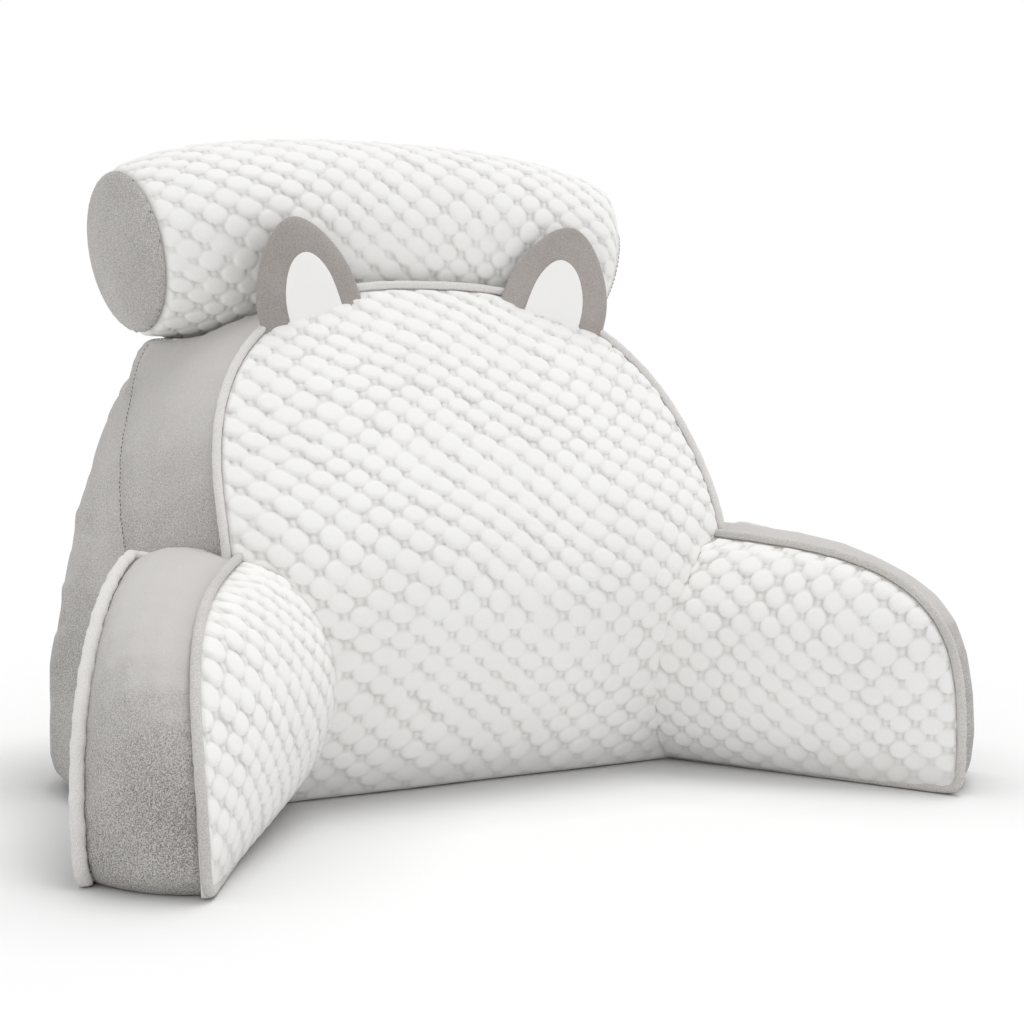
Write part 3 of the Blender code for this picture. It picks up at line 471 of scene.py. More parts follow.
def panel(name, outline, surface, bubbles, depth):
    """A closed quilted panel. surface(u, v) gives its points, bubbles(u, v) the height of the cloth."""
    low, high = outline.min(axis=0), outline.max(axis=0)
    counts = np.ceil((high - low) / PANEL_CELL).astype(int)
    bm = bmesh.new()
    bmesh.ops.create_grid(bm, x_segments=int(counts[0]), y_segments=int(counts[1]), size=0.5)
    uv = (co_array(bm)[:, :2] + 0.5) * (high - low) + low
    inside, _, _ = against_outline(uv, outline)
    for vert, point in zip(bm.verts, uv):
        vert.co.xy = point
    away = [v for v, keep in zip(bm.verts, inside) if not keep]
    bmesh.ops.delete(bm, geom=away, context="VERTS")
    rim = [v for v in bm.verts if v.is_boundary]
    _, _, nearest = against_outline(np.array([v.co.xy for v in rim]), outline)
    for vert, point in zip(rim, nearest):
        vert.co.xy = point
    bmesh.ops.remove_doubles(bm, verts=bm.verts, dist=PANEL_CELL * 0.2)
    uv = co_array(bm)[:, :2]
    _, gap, _ = against_outline(uv, outline)
    for vert, point in zip(bm.verts, surface(uv[:, 0], uv[:, 1])):
        vert.co = point
    bm.normal_update()
    facing = panel_normal(bm)
    turn = 1 if facing.y < 0 else -1
    heights = bubbles(uv[:, 0], uv[:, 1]) * smoothstep(gap / SEAM_FADE)
    # painted valley shade: the material darkens the colour where these heights are low, but not right
    # at a seam
    keep_heights(bm, heights + (gap < SEAM_EDGE))
    lift = BUBBLE_HEIGHT * heights - SEAM_TUCK * np.clip(1 - gap / TUCK_WIDTH, 0, 1) ** 2
    moves = [v.normal * turn * h for v, h in zip(bm.verts, lift)]
    for vert, move in zip(bm.verts, moves):
        vert.co += move
    made = bmesh.ops.extrude_edge_only(bm, edges=[e for e in bm.edges if e.is_boundary])["geom"]
    for vert in (v for v in made if isinstance(v, bmesh.types.BMVert)):
        vert.co -= facing * turn * depth
    loop = [e for e in made if isinstance(e, bmesh.types.BMEdge) and e.is_boundary]
    bmesh.ops.contextual_create(bm, geom=loop)
    return to_piece(name, bm, "quilted_plush")


# %% [markdown]
# ## The domed front panel
# Its paper pattern is a dome over two seams that curve inward round the swelling arms, with a
# straight hem on the floor.  The rows of bubbles are counted along the cloth, which leans back.  The
# panel reaches a little into the arms, so that no gap shows in the seams.

# %% Front panel
FRONT_OVERLAP = 0.0022  # how far the panel reaches into the arms
FRONT_HEM = 0.0012  # height of its lower edge
FRONT_BACKING = 0.012  # depth of the closed piece behind the cloth
HEM_RISE = 0.05  # up to this height the bubbles are lower
LEVELS = np.linspace(-0.02, ARM_TOP + FRONT_RISE + 0.02, 700)


def climb(levels, depths):
    """The length of the cloth from the first level up to each other one."""
    return np.concatenate([[0], np.cumsum(np.hypot(np.diff(levels), np.diff(depths)))])


CLIMB = climb(LEVELS, front_y(0.0, LEVELS))


def front_outline():
    seam = [(p[0] + FRONT_OVERLAP, max(p[2], FRONT_HEM)) for p in arm_seam_points]
    side = seam + [dome_point(t) for t in np.linspace(0, 1, 60)]
    return np.array(side + [(-x, z) for x, z in reversed(side[:-1])])


def front_surface(x, z):
    waves = 0.0015 * np.sin(x * 31 + 1.0) * np.sin(z * 27 + 0.5)
    return np.stack([x, front_y(x, z) + waves, z], axis=-1)


def front_bubbles(x, z):
    height = quilting(x / HALF_ACROSS, np.interp(z, LEVELS, CLIMB) / HALF_UP, 0.4)
    return height * (0.35 + 0.65 * smoothstep(z / HEM_RISE))


front_panel = panel("front_panel_quilted", front_outline(), front_surface, front_bubbles,
                    FRONT_BACKING)
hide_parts("front_panel")

# %% [markdown]
# ## The arms' inner panels
# They swell toward the seat beside the front panel, and flatten toward the front of the arm.  One is
# made for the right arm and one for the left, with different waves in their rows.

# %% Arm inner panels
ARM_ACROSS = 0.014  # the bubbles stand a little closer here
ARM_OVERLAP = 0.0030  # how far a panel reaches behind the front panel
ARM_HEM = 0.002  # height of its lower edge
ARM_BACKING = 0.005  # depth of the closed piece behind the cloth
ARM_LEVELS = np.linspace(0, ARM_TOP, 300)
ARM_CLIMB = climb(ARM_LEVELS, arm_swell(0.1, ARM_LEVELS))


def arm_outline():
    edge = [arm_edge(t, 0) for t in np.linspace(0, 1, 70)]
    edge = [(s, z) for s, z in edge if z > 0.004 and s > arm_seam[-1][0] + 0.002]
    seam = [(s - ARM_OVERLAP, max(z, ARM_HEM)) for s, z in arm_seam]
    return np.array(edge + [(edge[-1][0] - 0.001, ARM_HEM)] + seam)


def arm_panel(side, mirror, seed, joined):
    """The quilted panel of one arm. mirror is 1 for the right arm and -1 for the left."""
    def surface(s, z):
        return arm_point(s, z, arm_swell(s, z)) * (mirror, 1, 1)

    def bubbles(s, z):
        v = np.interp(z, ARM_LEVELS, ARM_CLIMB) / HALF_UP + 0.4
        height = quilting(mirror * s / ARM_ACROSS + 3.5, v, seed, ARM_ACROSS, joined)
        return height * (0.35 + 0.65 * smoothstep(z / HEM_RISE))

    piece = panel(f"arm_{side}_panel_quilted", arm_outline(), surface, bubbles, ARM_BACKING)
    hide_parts(f"arm_{side}_inner_panel")


arm_panel("right", 1, 2.2, 0.28)
arm_panel("left", -1, 3.7, 0.36)

# %% [markdown]
# ## The filled bodies
# Under the covers the pillow is stuffed with loose fibre that pushes the cloth out between the
# seams. Each body is a copy of its solid, remade as even small faces, and blown up a little with
# Blender's cloth simulation while its seams are held. What the simulation gives is capped, so that
# no side grows out of the pillow's true size.

# %% Tools for stuffed bodies
STUFFING_FRAMES = 20
STUFFING_PRESSURE = 4.0


def copy_of(name, *node_names):
    """One object with the merged meshes of some solids."""
    bm = bmesh.new()
    for node in node_names:
        bm.from_mesh(nodes[node].data)
    bmesh.ops.remove_doubles(bm, verts=bm.verts, dist=0.00001)
    return placed(name, to_mesh(name, bm))


def bake(piece):
    """Apply the piece's modifiers to its mesh."""
    bpy.context.view_layer.update()
    graph = bpy.context.evaluated_depsgraph_get()
    mesh = bpy.data.meshes.new_from_object(piece.evaluated_get(graph))
    piece.modifiers.clear()
    piece.data = mesh


def coordinates(piece):
    flat = np.zeros(len(piece.data.vertices) * 3)
    piece.data.vertices.foreach_get("co", flat)
    return flat.reshape(-1, 3)


def normals(piece):
    flat = np.zeros(len(piece.data.vertices) * 3)
    piece.data.vertex_normals.foreach_get("vector", flat)
    return flat.reshape(-1, 3)


def set_coordinates(piece, points):
    piece.data.vertices.foreach_set("co", np.ascontiguousarray(points).ravel())
    piece.data.update()


def search_tree(line):
    """A tree that finds the nearest point of a line of closely set points."""
    tree = KDTree(len(line))
    for i, point in enumerate(line):
        tree.insert(point, i)
    tree.balance()
    return tree


def distance_to(points, line):
    """Distance from each point to the nearest point of a line."""
    tree = search_tree(line)
    return np.array([tree.find(p)[2] for p in points])


def keep_painted_light(piece, values):
    """Keep for the material how far each point's colour is painted toward its light tone: painted
    light.
    """
    top_light_attribute = piece.data.attributes.new("painted_top_light", "FLOAT", "POINT")
    top_light_attribute.data.foreach_set("value", values)


def finish_body(piece, *replaced):
    piece.data.shade_smooth()
    # painted highlight: the more a face looks up, the lighter its colour is painted
    keep_painted_light(piece, smoothstep(normals(piece)[:, 2] * 1.3))
    piece.data.materials.clear()
    piece.data.materials.append(cloths["grey_plush"])
    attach(piece, "root")
    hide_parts(*replaced)
    print(f"{piece.name}: {len(piece.data.vertices)} points")


def remake(piece, voxel, smooth):
    """Remake the piece's mesh as even small faces, and soften it."""
    remesh = piece.modifiers.new("even faces", "REMESH")
    remesh.mode = "VOXEL"
    remesh.voxel_size = voxel
    bake(piece)
    soften = piece.modifiers.new("soften", "SMOOTH")
    soften.factor = 0.5
    soften.iterations = smooth
    bake(piece)


def stuff(piece, held, cap):
    """Blow the piece up with cloth simulation. held is 1 at fixed points and 0 at free ones."""
    before = coordinates(piece)
    group = piece.vertex_groups.new(name="held")
    for i, weight in enumerate(held):
        if weight > 0.001:
            group.add([i], float(weight), "REPLACE")
    cloth = piece.modifiers.new("stuffing", "CLOTH")
    settings = cloth.settings
    settings.quality = 4
    settings.mass = 0.3
    settings.tension_stiffness = settings.compression_stiffness = 12
    settings.bending_stiffness = 0.4
    settings.use_pressure = True
    settings.uniform_pressure_force = STUFFING_PRESSURE
    settings.vertex_group_mass = "held"
    settings.effector_weights.gravity = 0
    cloth.point_cache.frame_start = 1
    cloth.point_cache.frame_end = STUFFING_FRAMES
    scene = bpy.context.scene
    for step in range(1, STUFFING_FRAMES + 1):
        scene.frame_set(step)
    bake(piece)
    scene.frame_set(1)
    move = coordinates(piece) - before
    length = np.linalg.norm(move, axis=1)
    keep = cap * np.tanh(length / cap) / np.maximum(length, 1e-9)
    set_coordinates(piece, before + move * keep[:, None])
    print(f"{piece.name}: stuffing moved it up to {length.max() * 1000:.1f} mm,",
          f"kept under {cap * 1000:.0f} mm")


def subdivide(piece):
    finer = piece.modifiers.new("finer", "SUBSURF")
    finer.levels = finer.render_levels = 1
    bake(piece)


def sew(piece, line, depth, width):
    """Press a seam's groove into the piece along a line."""
    points = coordinates(piece)
    gap = distance_to(points, line)
    press = depth * np.clip(1 - gap / width, 0, 1) ** 1.5
    set_coordinates(piece, points - normals(piece) * press[:, None])


def even_points(points, step):
    """Points an even step apart along a line of points."""
    points = np.asarray(points, float)
    lengths = np.concatenate([[0], np.cumsum(np.linalg.norm(np.diff(points, axis=0), axis=1))])
    wanted = np.linspace(0, lengths[-1], max(2, round(lengths[-1] / step)) + 1)
    return np.stack([np.interp(wanted, lengths, points[:, k]) for k in range(3)], axis=-1)


# %% [markdown]
# Seams show as a row of short, taut stitches that sink a little into the pile.  Each stitch is one
# small stretched sphere, laid on the piece that carries it.

# %% Stitches
STITCH_LENGTH, STITCH_SPACE, STITCH_RADIUS = 0.0032, 0.0014, 0.00045


def stitches(name, path, carrier):
    """A row of separate stitches along a path, laid on the carrier's surface."""
    bm = bmesh.new()
    path = even_points(path, STITCH_LENGTH + STITCH_SPACE)
    for start, end in zip(path, path[1:]):
        _, spot, normal, _ = carrier.closest_point_on_mesh(Vector((start + end) / 2))
        run = Vector(end - start)
        run = (run - normal * run.dot(normal)).normalized()
        turn = Matrix((run, normal.cross(run), normal)).transposed().to_4x4()
        size = Matrix.Diagonal((STITCH_LENGTH / 2, STITCH_RADIUS, STITCH_RADIUS, 1))
        place = Matrix.Translation(spot + normal * STITCH_RADIUS * 0.3) @ turn @ size
        bmesh.ops.create_uvsphere(bm, u_segments=6, v_segments=4, radius=1, matrix=place)
    to_piece(name, bm, "thread")


# %% [markdown]
# The back seam runs up one side of the back panel, over its arch and down the other side.  The front
# seam follows the dome of the front panel.

# %% Seam lines of the backrest
def back_arch(share):
    """A point of the back seam: share goes from 0 at the floor over 1 to 2 at the top."""
    spring_y, spring_z = BACK_SPRING
    if share < 1:
        x, y, z = (BACK_FOOT_HALF + (BACK_HALF - BACK_FOOT_HALF) * share,
                   BACK_FOOT_Y + (spring_y - BACK_FOOT_Y) * share, share * spring_z)
    else:
        across, up = round_part(share - 1, BACK_POWER)
        x, y, z = (BACK_HALF * across, spring_y + BACK_RISE * up * math.sin(BACK_LEAN),
                   spring_z + BACK_RISE * up * math.cos(BACK_LEAN))
    return x - float(drawn_in(z)), y, z


def both_sides(line):
    """A line from the right side, continued over the top and down the left side."""
    line = [tuple(p) for p in line]
    return line + [(-x, y, z) for x, y, z in reversed(line)]


back_seam = both_sides(even_points([back_arch(t) for t in np.linspace(0.02, 2, 300)], 0.002))
dome = [dome_point(t) for t in np.linspace(0, 1, 120)]
front_seam = both_sides([(x, float(front_edge_y(z)), z) for x, z in dome])
print("points of the back seam:", len(back_seam), "and of the front seam:", len(front_seam))

# %% [markdown]
# The filling pushes the sides of the back outward behind the seam, most near the floor and at the
# shoulders.  The solid has few rows of points there, so its sides stand too far in.  The push is read
# from a table over the height, and counts in full only where the face looks sideways.

# %% Settling of the filling
SETTLE_AT = (0.0, 0.03, 0.08, 0.13, 0.18, 0.23, 0.28, 0.33, 0.38, 0.43, 0.48)
SETTLE_BY = (0.009, 0.016, 0.0155, 0.0135, 0.0115, 0.006, 0.0075, 0.012, 0.021, 0.030, 0.016)
SHOULDER_FROM, SHOULDER_BLEND = 0.33, 0.07  # from here up the push reaches the seam itself


def settle(piece):
    """Push the sides of the back outward behind the back seam."""
    points, facing = coordinates(piece), normals(piece)
    height = points[:, 2]
    slope = math.tan(BACK_LEAN) * np.maximum(0, height - BACK_SPRING[1])
    behind = points[:, 1] - BACK_FOOT_Y - slope
    away = np.maximum(smoothstep((distance_to(points, back_seam) - 0.002) / 0.03),
                      smoothstep((height - SHOULDER_FROM) / SHOULDER_BLEND))
    share = away * smoothstep(behind / 0.05 + 0.5)
    push = facing * (np.abs(facing[:, 0]) * share * np.interp(height, SETTLE_AT, SETTLE_BY))[:, None]
    push[:, 2] *= smoothstep(height / 0.1)
    set_coordinates(piece, points + push)


print("the sides may move outward by up to", max(SETTLE_BY) * 1000, "mm")

# %% [markdown]
# The backrest and its back panel become one body, held under the front panel, at its two seams and
# at the floor.  Then the back seam is pressed in, and its stitches are laid along it.

# %% Backrest body
BODY_CAP = 0.006  # what the simulation may add at most
body = copy_of("backrest_body", "backrest", "back_panel")
remake(body, 0.0075, 3)
points = coordinates(body)
in_front = points[:, 1] - front_y(points[:, 0], points[:, 2])
held = np.maximum.reduce([
    1 - smoothstep((in_front - 0.008) / 0.02),
    1 - smoothstep((distance_to(points, back_seam) - 0.004) / 0.02),
    1 - smoothstep((distance_to(points, front_seam) - 0.004) / 0.02),
    1 - smoothstep((points[:, 2] - 0.004) / 0.02),
])
stuff(body, held, BODY_CAP)
subdivide(body)
sew(body, back_seam, 0.0028, 0.009)
settle(body)
finish_body(body, "backrest", "back_panel")
stitches("back_seam_stitches", back_seam, body)

# %% [markdown]
# Each arm and its outer panel become one body too, held under the quilted panel, along both of its
# edges, at the floor and at the backrest.  The strip on top and the outer face swell.

# %% Arm bodies
ARM_CAP = 0.005  # what the simulation may add at most


def arm_body(side, mirror):
    piece = copy_of(f"arm_{side}_body", f"arm_{side}", f"arm_{side}_outer_panel")
    remake(piece, 0.0045, 1)
    points = coordinates(piece)
    edges = []
    for face in (0, 1):
        line = [arm_point(*arm_edge(t, face), -ARM_WIDTH * face) for t in np.linspace(0, 1, 200)]
        edges += [(x * mirror, y, z) for x, y, z in line]
    own = points * (mirror, 1, 1) - (ARM_ROOT_X, FOOT_Y, 0)
    side_on = own[:, 0] * math.cos(ARM_SPLAY) + own[:, 1] * math.sin(ARM_SPLAY)
    inward = ARM_LEAN * own[:, 2] - side_on
    along = own[:, 0] * math.sin(ARM_SPLAY) - own[:, 1] * math.cos(ARM_SPLAY)
    held = np.maximum.reduce([
        smoothstep((inward + 0.016) / 0.010),
        1 - smoothstep((distance_to(points, edges) - 0.003) / 0.014),
        1 - smoothstep((points[:, 2] - 0.003) / 0.015),
        1 - smoothstep((along - 0.01) / 0.04),
    ])
    stuff(piece, held, ARM_CAP)
    subdivide(piece)
    finish_body(piece, f"arm_{side}", f"arm_{side}_outer_panel")
    return piece


arm_bodies = {"right": arm_body("right", 1), "left": arm_body("left", -1)}

# %% [markdown]
# ## Piping
# Piping is a strip of plush folded round a cord and caught in the seam.  Sewn round a bend, its
# cloth puckers every few millimetres.  It is a tube along the seam, with its surface moved in and
# out by small slanting waves.

# %% Piping
PIPING_OUT = 0.0036  # how far a cord's middle stands outside its seam
PIPING_UP = 0.0045  # height of an arm's cord where it runs back along the floor
TUBE_STEP = 0.002


def tube(name, line, radius, pucker, seed, wide):
    """A closed tube along a line, puckered by small slanting waves. wide is a direction to widen it."""
    line = even_points(line, TUBE_STEP)
    curve = bpy.data.curves.new(name, "CURVE")
    curve.dimensions = "3D"
    curve.bevel_depth = radius
    curve.bevel_resolution = 4
    curve.use_fill_caps = True
    spline = curve.splines.new("POLY")
    spline.points.add(len(line) - 1)
    for knot, point in zip(spline.points, line):
        knot.co = (*point, 1)
    guide = placed(name + "_line", curve)
    bpy.context.view_layer.update()
    graph = bpy.context.evaluated_depsgraph_get()
    bm = bmesh.new()
    bm.from_mesh(bpy.data.meshes.new_from_object(guide.evaluated_get(graph)))
    bpy.data.objects.remove(guide)
    bmesh.ops.remove_doubles(bm, verts=bm.verts, dist=0.00002)
    tree = search_tree(line)
    for vert in bm.verts:
        centre, index, _ = tree.find(vert.co)
        arm = vert.co - centre
        along = index * TUBE_STEP
        turn = math.atan2(arm.z, arm.x)
        wave = math.sin(along / 0.0042 + 1.7 * turn + seed) * math.sin(along / 0.019 + seed * 2)
        fine = math.sin(along / 0.0017 - 2.3 * turn + seed)
        if wide:
            arm = arm * 0.92 + wide * arm.dot(wide) * 0.28
        vert.co = centre + arm * (1 + pucker * (wave + 0.35 * fine))
    return bm


def piping(name, line, radius, cloth, pucker, seed, replaced, wide=None):
    piece = to_piece(name, tube(name, line, radius, pucker, seed, wide), cloth)
    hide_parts(replaced)


def dome_line():
    """The line of the front piping, just outside the panel's edge, from inside one arm to the other."""
    line = [(FRONT_HALF + PIPING_OUT, float(front_edge_y(z)), z)
            for z in np.linspace(ARM_TOP - 0.012, ARM_TOP, 6)]
    for t in np.linspace(0.02, 1, 90):
        x, z = dome_point(t)
        x1, z1 = dome_point(t - 0.01)
        x2, z2 = dome_point(min(t + 0.01, 1))
        run = Vector((x2 - x1, z2 - z1)).normalized()
        line.append((x + run.y * PIPING_OUT, float(front_edge_y(z)), z - run.x * PIPING_OUT))
    return both_sides(line)


piping("front_piping_cord", dome_line(), 0.0040, "piping_plush", 0.05, 0.3, "front_piping")


def arm_line(face, mirror):
    """The line of an arm's piping: over the top, down the front, and back along the floor."""
    line = []
    if face:  # the outer cord starts inside the arm, beside the backrest
        line.append(arm_point(-0.002, ARM_HEIGHT[1] - 0.004, 0.020 - ARM_WIDTH))
        line.append(arm_point(0.001, ARM_HEIGHT[1], 0.009 - ARM_WIDTH))
    for t in np.linspace(0.03 if face else 0.004, 0.985, 120):
        s, z = arm_edge(t, face)
        s1, z1 = arm_edge(max(t - 0.01, 0), face)
        s2, z2 = arm_edge(min(t + 0.01, 1), face)
        run = Vector((s2 - s1, z2 - z1)).normalized()
        line.append(arm_point(s - run.y * PIPING_OUT, z + run.x * PIPING_OUT, -ARM_WIDTH * face))
    toe = ARM_REACH[face]
    for s, z in ((toe + 0.0025, 0.0135), (toe - 0.0020, 0.0062), (toe - 0.0115, PIPING_UP),
                 (-0.02, PIPING_UP)):
        line.append(arm_point(s, z, -ARM_WIDTH * face))
    return [(x * mirror, y, z) for x, y, z in line]


def stitch_line(mirror):
    """Where the outer piping is sewn to the strip: just inside the outer edge of the arm's top."""
    line = [arm_point(*arm_edge(t, 1), -(ARM_WIDTH - 0.0065)) for t in np.linspace(0.02, 0.97, 100)]
    return [(x * mirror, y, z) for x, y, z in line]


for side, mirror in (("right", 1), ("left", -1)):
    piping(f"arm_{side}_inner_cord", arm_line(0, mirror), 0.0041, "inner_piping", 0.05, 1.1 + mirror,
           f"arm_{side}_inner_piping")
    piping(f"arm_{side}_outer_cord", arm_line(1, mirror), 0.0047, "piping_plush", 0.09, 2.3 + mirror,
           f"arm_{side}_outer_piping", Vector((math.cos(ARM_SPLAY) * mirror, math.sin(ARM_SPLAY), 0)))
    stitches(f"arm_{side}_stitches", stitch_line(mirror), arm_bodies[side])

# %% [markdown]
# ## The neck roll
# A cylinder of the quilted cloth, stuffed firmly.  It droops over the backrest's top toward both
# ends.  The wrap is one rectangle of cloth, joined underneath.

# %% Roll
ROLL_HALF, ROLL_RADIUS, ROLL_END_RADIUS, ROLL_POWER = 0.244, 0.092, 0.0745, 5
ROLL_X, ROLL_Y, ROLL_Z = -0.0225, 0.1901, 0.509
ROLL_TURN, ROLL_BEND, ROLL_DROOP = math.radians(-2.5), 0.025, 0.0225
ROLL_ROUNDS = 42  # lattice steps round the roll
ROLL_SEAM = math.radians(-75)  # the wrap is joined underneath, where the roll rests
ROLL_REACH = {-1: 1.0, 1: 1.065}  # where the wrap ends, left and right, in half lengths
ROLL_DOMES = {-1: 0.017, 1: 0.003}  # how far a cap's middle stands out of its rim
ROLL_RIMS = {-1: 0.0005, 1: -0.0035}  # how far a cap's rim stands out of the wrap's edge
ROLL_IN_FROM, ROLL_IN_LENGTH, ROLL_IN = 0.96, 0.09, 0.022  # the wrap's turn inward on the right


def roll_points(a, angle, radius, along=0.0):
    """Points of the roll at share a (-1 to 1) of its half length and an angle round its axis."""
    values = [np.asarray(q, float)[..., None] for q in (a, angle, radius, along)]
    a, angle, radius, along = np.broadcast_arrays(*values)
    axis = np.concatenate([ROLL_HALF + 0 * a, -2 * ROLL_BEND * a, -2 * ROLL_DROOP * a], axis=-1)
    axis /= np.linalg.norm(axis, axis=-1, keepdims=True)
    up = np.array([0, 0, 1]) - axis * axis[..., 2:]
    up /= np.linalg.norm(up, axis=-1, keepdims=True)
    rear = np.cross(up, axis)
    middle = np.concatenate([ROLL_HALF * a, -ROLL_BEND * a * a, -ROLL_DROOP * a * a], axis=-1)
    points = middle + axis * along + (rear * np.cos(angle) + up * np.sin(angle)) * radius
    turn = np.array(Matrix.Rotation(ROLL_TURN, 3, "Z"))
    return points @ turn.T + (ROLL_X, ROLL_Y, ROLL_Z)


def roll_radius(a):
    """The roll is slimmer toward its ends, and at its right end the wrap curves in quickly."""
    past = np.clip((np.abs(a) - ROLL_IN_FROM) / ROLL_IN_LENGTH, 0, 1)
    slimmer = (ROLL_END_RADIUS - ROLL_RADIUS) * np.abs(a) ** ROLL_POWER
    return ROLL_RADIUS + slimmer - ROLL_IN * past ** 2 * (a > 0)


def close_up(bm, gap):
    """Join points that are closer than a gap, and fill the holes that are left."""
    bmesh.ops.remove_doubles(bm, verts=bm.verts, dist=gap)
    bmesh.ops.holes_fill(bm, edges=[e for e in bm.edges if e.is_boundary], sides=0)


def make_roll():
    """The wrap of the roll, closed at both ends behind its caps."""
    bm = bmesh.new()
    bmesh.ops.create_grid(bm, x_segments=300, y_segments=320, size=1)
    flat = co_array(bm)
    a, angle = flat[:, 0], flat[:, 1] * np.pi + ROLL_SEAM + np.pi
    a = a * np.where(a > 0, ROLL_REACH[1], ROLL_REACH[-1])
    radius = roll_radius(a)
    edge = (1 - np.abs(flat[:, 0])) * ROLL_HALF
    heights = quilting(a * ROLL_HALF / HALF_ACROSS + 0.5, -angle / (2 * np.pi) * ROLL_ROUNDS, 0.0)
    heights *= smoothstep(edge / 0.006)
    # painted valley shade falls where these heights are low, also at the roll's ends
    keep_heights(bm, heights)
    tuck = 0.003 * np.clip(1 - edge / 0.009, 0, 1) ** 2
    for vert, point in zip(bm.verts, roll_points(a, angle, radius + BUBBLE_HEIGHT * heights - tuck)):
        vert.co = point
    close_up(bm, 0.0002)
    piece = to_piece("neck_roll_quilted", bm, "quilted_plush")
    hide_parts("neck_roll")


make_roll()

# %% [markdown]
# A grey plush cap is sewn into each end of the roll and pushed out by the filling.  At the right end
# the wrap is pulled further round, so the cap there is small, flat and sunk in.

# %% End caps of the roll
CAP_POWER = 2.2  # the shape of a cap's dome
CAP_PAINTED_LIGHT = 0.3  # painted light: the caps' colour is painted a little toward the light tone all over


def make_cap(side, mirror):
    """A domed end cap, with small puckers that run in from its seam."""
    bm = bmesh.new()
    bmesh.ops.create_uvsphere(bm, u_segments=180, v_segments=90, radius=1)
    bmesh.ops.bisect_plane(bm, geom=bm.verts[:] + bm.edges[:] + bm.faces[:], plane_co=(0, 0, 0.001),
                           plane_no=(0, 0, 1), clear_inner=True)
    flat = co_array(bm)
    angle = np.arctan2(flat[:, 1], flat[:, 0])
    height = np.clip(flat[:, 2], 0, 1) ** 0.9
    reach, dome_height = ROLL_REACH[mirror], ROLL_DOMES[mirror]
    rim_radius = float(roll_radius(reach * mirror)) + ROLL_RIMS[mirror]
    radius = rim_radius * (1 - height ** CAP_POWER) ** (1 / CAP_POWER)
    pucker = np.sin(angle * 41 + 1.3 * mirror) * np.sin(angle * 7 + mirror) + 0.6 * np.sin(angle * 67)
    lift = 0.0009 * pucker * np.exp(-height / 0.16) * np.clip(height / 0.05, 0, 1)
    points = roll_points(reach * mirror, angle, radius + lift, (dome_height * height + lift) * mirror)
    for vert, point in zip(bm.verts, points):
        vert.co = point
    close_up(bm, 0.00005)
    piece = to_piece(f"neck_roll_end_{side}", bm, "grey_plush")
    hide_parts(f"neck_roll_cap_{side}")
    # painted light: the whole cap's colour is painted a little toward its light tone
    keep_painted_light(piece, [CAP_PAINTED_LIGHT] * len(piece.data.vertices))
    round_about = np.linspace(0, 2 * np.pi, 160)
    rim = roll_points(reach * mirror, round_about, rim_radius - 0.002, 0.0015 * mirror)
    stitches(f"neck_roll_stitches_{side}", rim, piece)


make_cap("right", 1)
make_cap("left", -1)

# %% [markdown]
# ## Ears
# Each ear is two curved pieces of ash plush, sewn round the rim, turned and lightly stuffed, with a
# smooth white patch on its front.  Its base is caught in the seam of the front panel.

# %% Ears
EAR_OUTER_BASE = Vector((0.180, 0.095 + FOOT_Y, 0.4160))
EAR_INNER_BASE = Vector((0.077, 0.113 + FOOT_Y, 0.4545))
EAR_TIP = Vector((0.143, 0.101 + FOOT_Y, 0.5270))
EAR_OUTLINE = [(-0.99, 0.12), (-0.83, 0.39), (-0.62, 0.59), (-0.36, 0.77), (-0.08, 0.89), (0.18, 0.92),
               (0.39, 0.86), (0.59, 0.74), (0.77, 0.56), (0.91, 0.36), (1.00, 0.12)]
PATCH_OUTLINE = [(-0.50, 0.08), (-0.35, 0.31), (-0.16, 0.47), (0.04, 0.54), (0.24, 0.54), (0.40, 0.44),
                 (0.51, 0.28), (0.55, 0.10)]
EAR_FOOT = -0.30  # the shapes go on below the seam, where the panel hides them
EAR_FRONT, EAR_THICK = 0.0065, 0.013
PATCH_FRONT, PATCH_THICK = 0.0078, 0.003
EAR_CUPPING = 0.002  # how deep the lower middle of an ear is hollow


def smooth_loop(outline, count):
    """Even points on a smooth closed line through an outline, with a straight foot."""
    knots = np.array([(outline[0][0], EAR_FOOT)] + outline + [(outline[-1][0], EAR_FOOT)])
    for _ in range(3):
        middles = (knots[:-1] + knots[1:]) / 2
        softer = knots.copy()
        softer[1:-1] = knots[1:-1] * 0.75 + (knots[:-2] + knots[2:]) * 0.125
        merged = np.empty((len(knots) + len(middles), 2))
        merged[0::2], merged[1::2] = softer, middles
        knots = merged
    closed = np.vstack([knots, knots[:1]])
    lengths = np.concatenate([[0], np.cumsum(np.hypot(*np.diff(closed, axis=0).T))])
    wanted = np.linspace(0, lengths[-1], count, endpoint=False)
    return np.stack([np.interp(wanted, lengths, closed[:, k]) for k in (0, 1)], axis=-1)


def ear_part(outline, mirror, front, thick):
    """A lightly stuffed flat shape on the plane of an ear, with its front face at a given height."""
    base = (EAR_OUTER_BASE + EAR_INNER_BASE) / 2
    across = (EAR_INNER_BASE - EAR_OUTER_BASE).normalized()
    half = (EAR_INNER_BASE - EAR_OUTER_BASE).length / 2
    facing = across.cross(EAR_TIP - base).normalized()
    facing = -facing if facing.y > 0 else facing
    up = across.cross(facing)
    up = -up if up.z < 0 else up
    tall = (EAR_TIP - base).dot(up)
    count = 96
    loop = smooth_loop(outline, count)
    middle = np.array((loop[:, 0].mean(), 0.2))
    bm = bmesh.new()
    bmesh.ops.create_uvsphere(bm, u_segments=count, v_segments=28, radius=1)
    for vert in bm.verts:
        x, y, z = vert.co
        share = math.hypot(x, y)
        index = round(math.atan2(y, x) / (2 * math.pi) * count) % count
        a, b = middle + (loop[index] - middle) * share
        lift = front - thick / 2 + math.copysign(abs(z) ** 0.7, z) * thick / 2
        lift -= EAR_CUPPING * math.exp(-(a / 0.5) ** 2) * smoothstep((0.95 - b) / 0.5)
        place = base + across * (a * half) + up * (b * tall) + facing * lift
        vert.co = (place.x * mirror, place.y, place.z)
    return bm


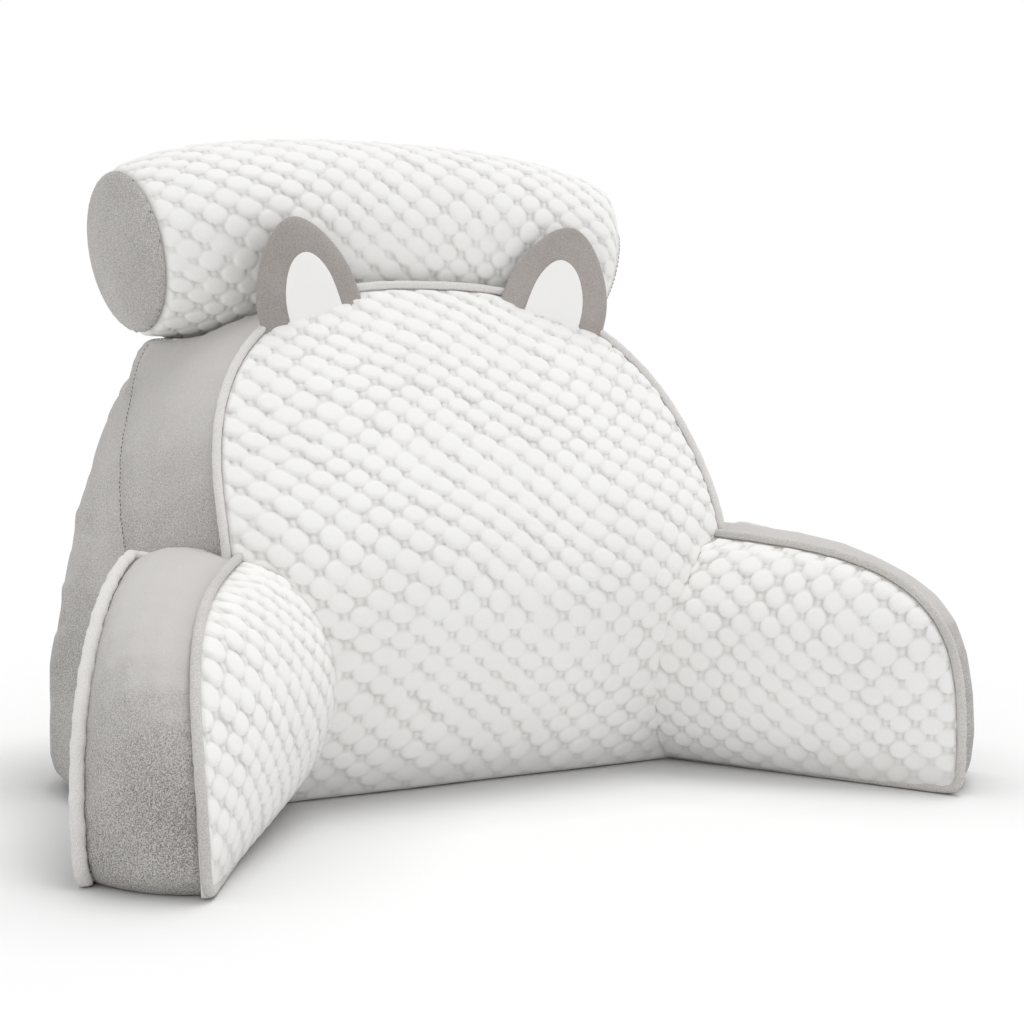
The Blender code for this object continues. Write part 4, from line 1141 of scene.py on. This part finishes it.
for side, mirror in (("left", -1), ("right", 1)):
    shape = ear_part(EAR_OUTLINE, mirror, EAR_FRONT, EAR_THICK)
    ear = to_piece(f"ear_{side}_plush", shape, "ear_plush")
    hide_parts(f"ear_{side}")
    shape = ear_part(PATCH_OUTLINE, mirror, PATCH_FRONT, PATCH_THICK)
    patch = to_piece(f"ear_{side}_patch", shape, "ear_satin")
    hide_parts(f"ear_{side}_inner")

# %% [markdown]
# ## The room
# A plain white floor that runs far back, and soft light: a wide sun nearly overhead, a little to the
# right, and an even glow from all round.  Photographed on white, the whole backdrop is brighter than
# the cloth.  A painted contact shadow darkens the floor's colour where something stands close over it.

# %% Floor
CONTACT = 0.15  # how far the painted contact shadow reaches


def floor_material():
    material = bpy.data.materials.new("white_floor")
    material.use_nodes = True
    shader = material.node_tree.nodes["Principled BSDF"]
    # painted contact shadow: ambient occlusion darkens the floor's colour near the pillow
    contact_shadow = add(material.node_tree, "ShaderNodeAmbientOcclusion", {"Distance": CONTACT}, samples=8)
    colour = mixed(material.node_tree, contact_shadow.outputs["AO"], linear("CACACA"), linear("F8F8F8"))
    material.node_tree.links.new(colour, shader.inputs["Base Color"])
    shader.inputs["Roughness"].default_value = 0.9
    shader.inputs["Specular IOR Level"].default_value = 0.0
    return material


bm = bmesh.new()
bmesh.ops.create_grid(bm, x_segments=2, y_segments=2, size=30)
floor_mesh = bpy.data.meshes.new("floor")
bm.to_mesh(floor_mesh)
bm.free()
floor_mesh.materials.append(floor_material())
floor = placed("floor", floor_mesh)
print("floor:", [round(side, 1) for side in floor.dimensions[:2]], "m")

# %% Light
GLOW = 0.75  # strength of the light from all round
SUN_STRENGTH, SUN_ANGLE = 1.05, math.radians(28)
SUN_FROM = Vector((0.24, 0.03, 0.97))
world = bpy.data.worlds.new("soft_room")
world.use_nodes = True
sky = world.node_tree
seen = add(sky, "ShaderNodeLightPath", {}).outputs["Is Camera Ray"]
sky.nodes["Background"].inputs["Color"].default_value = (1, 1, 1, 1)
sky.links.new(spread(sky, seen, 0.0, 1.0, GLOW), sky.nodes["Background"].inputs["Strength"])
bpy.context.scene.world = world

sun_data = bpy.data.lights.new("key_light", "SUN")
sun_data.energy = SUN_STRENGTH
sun_data.angle = SUN_ANGLE
sun = placed("key_light", sun_data)
sun.rotation_euler = SUN_FROM.to_track_quat("Z", "Y").to_euler()
bpy.context.scene.view_settings.view_transform = "Standard"
print("sun:", sun_data.energy, "glow:", GLOW)
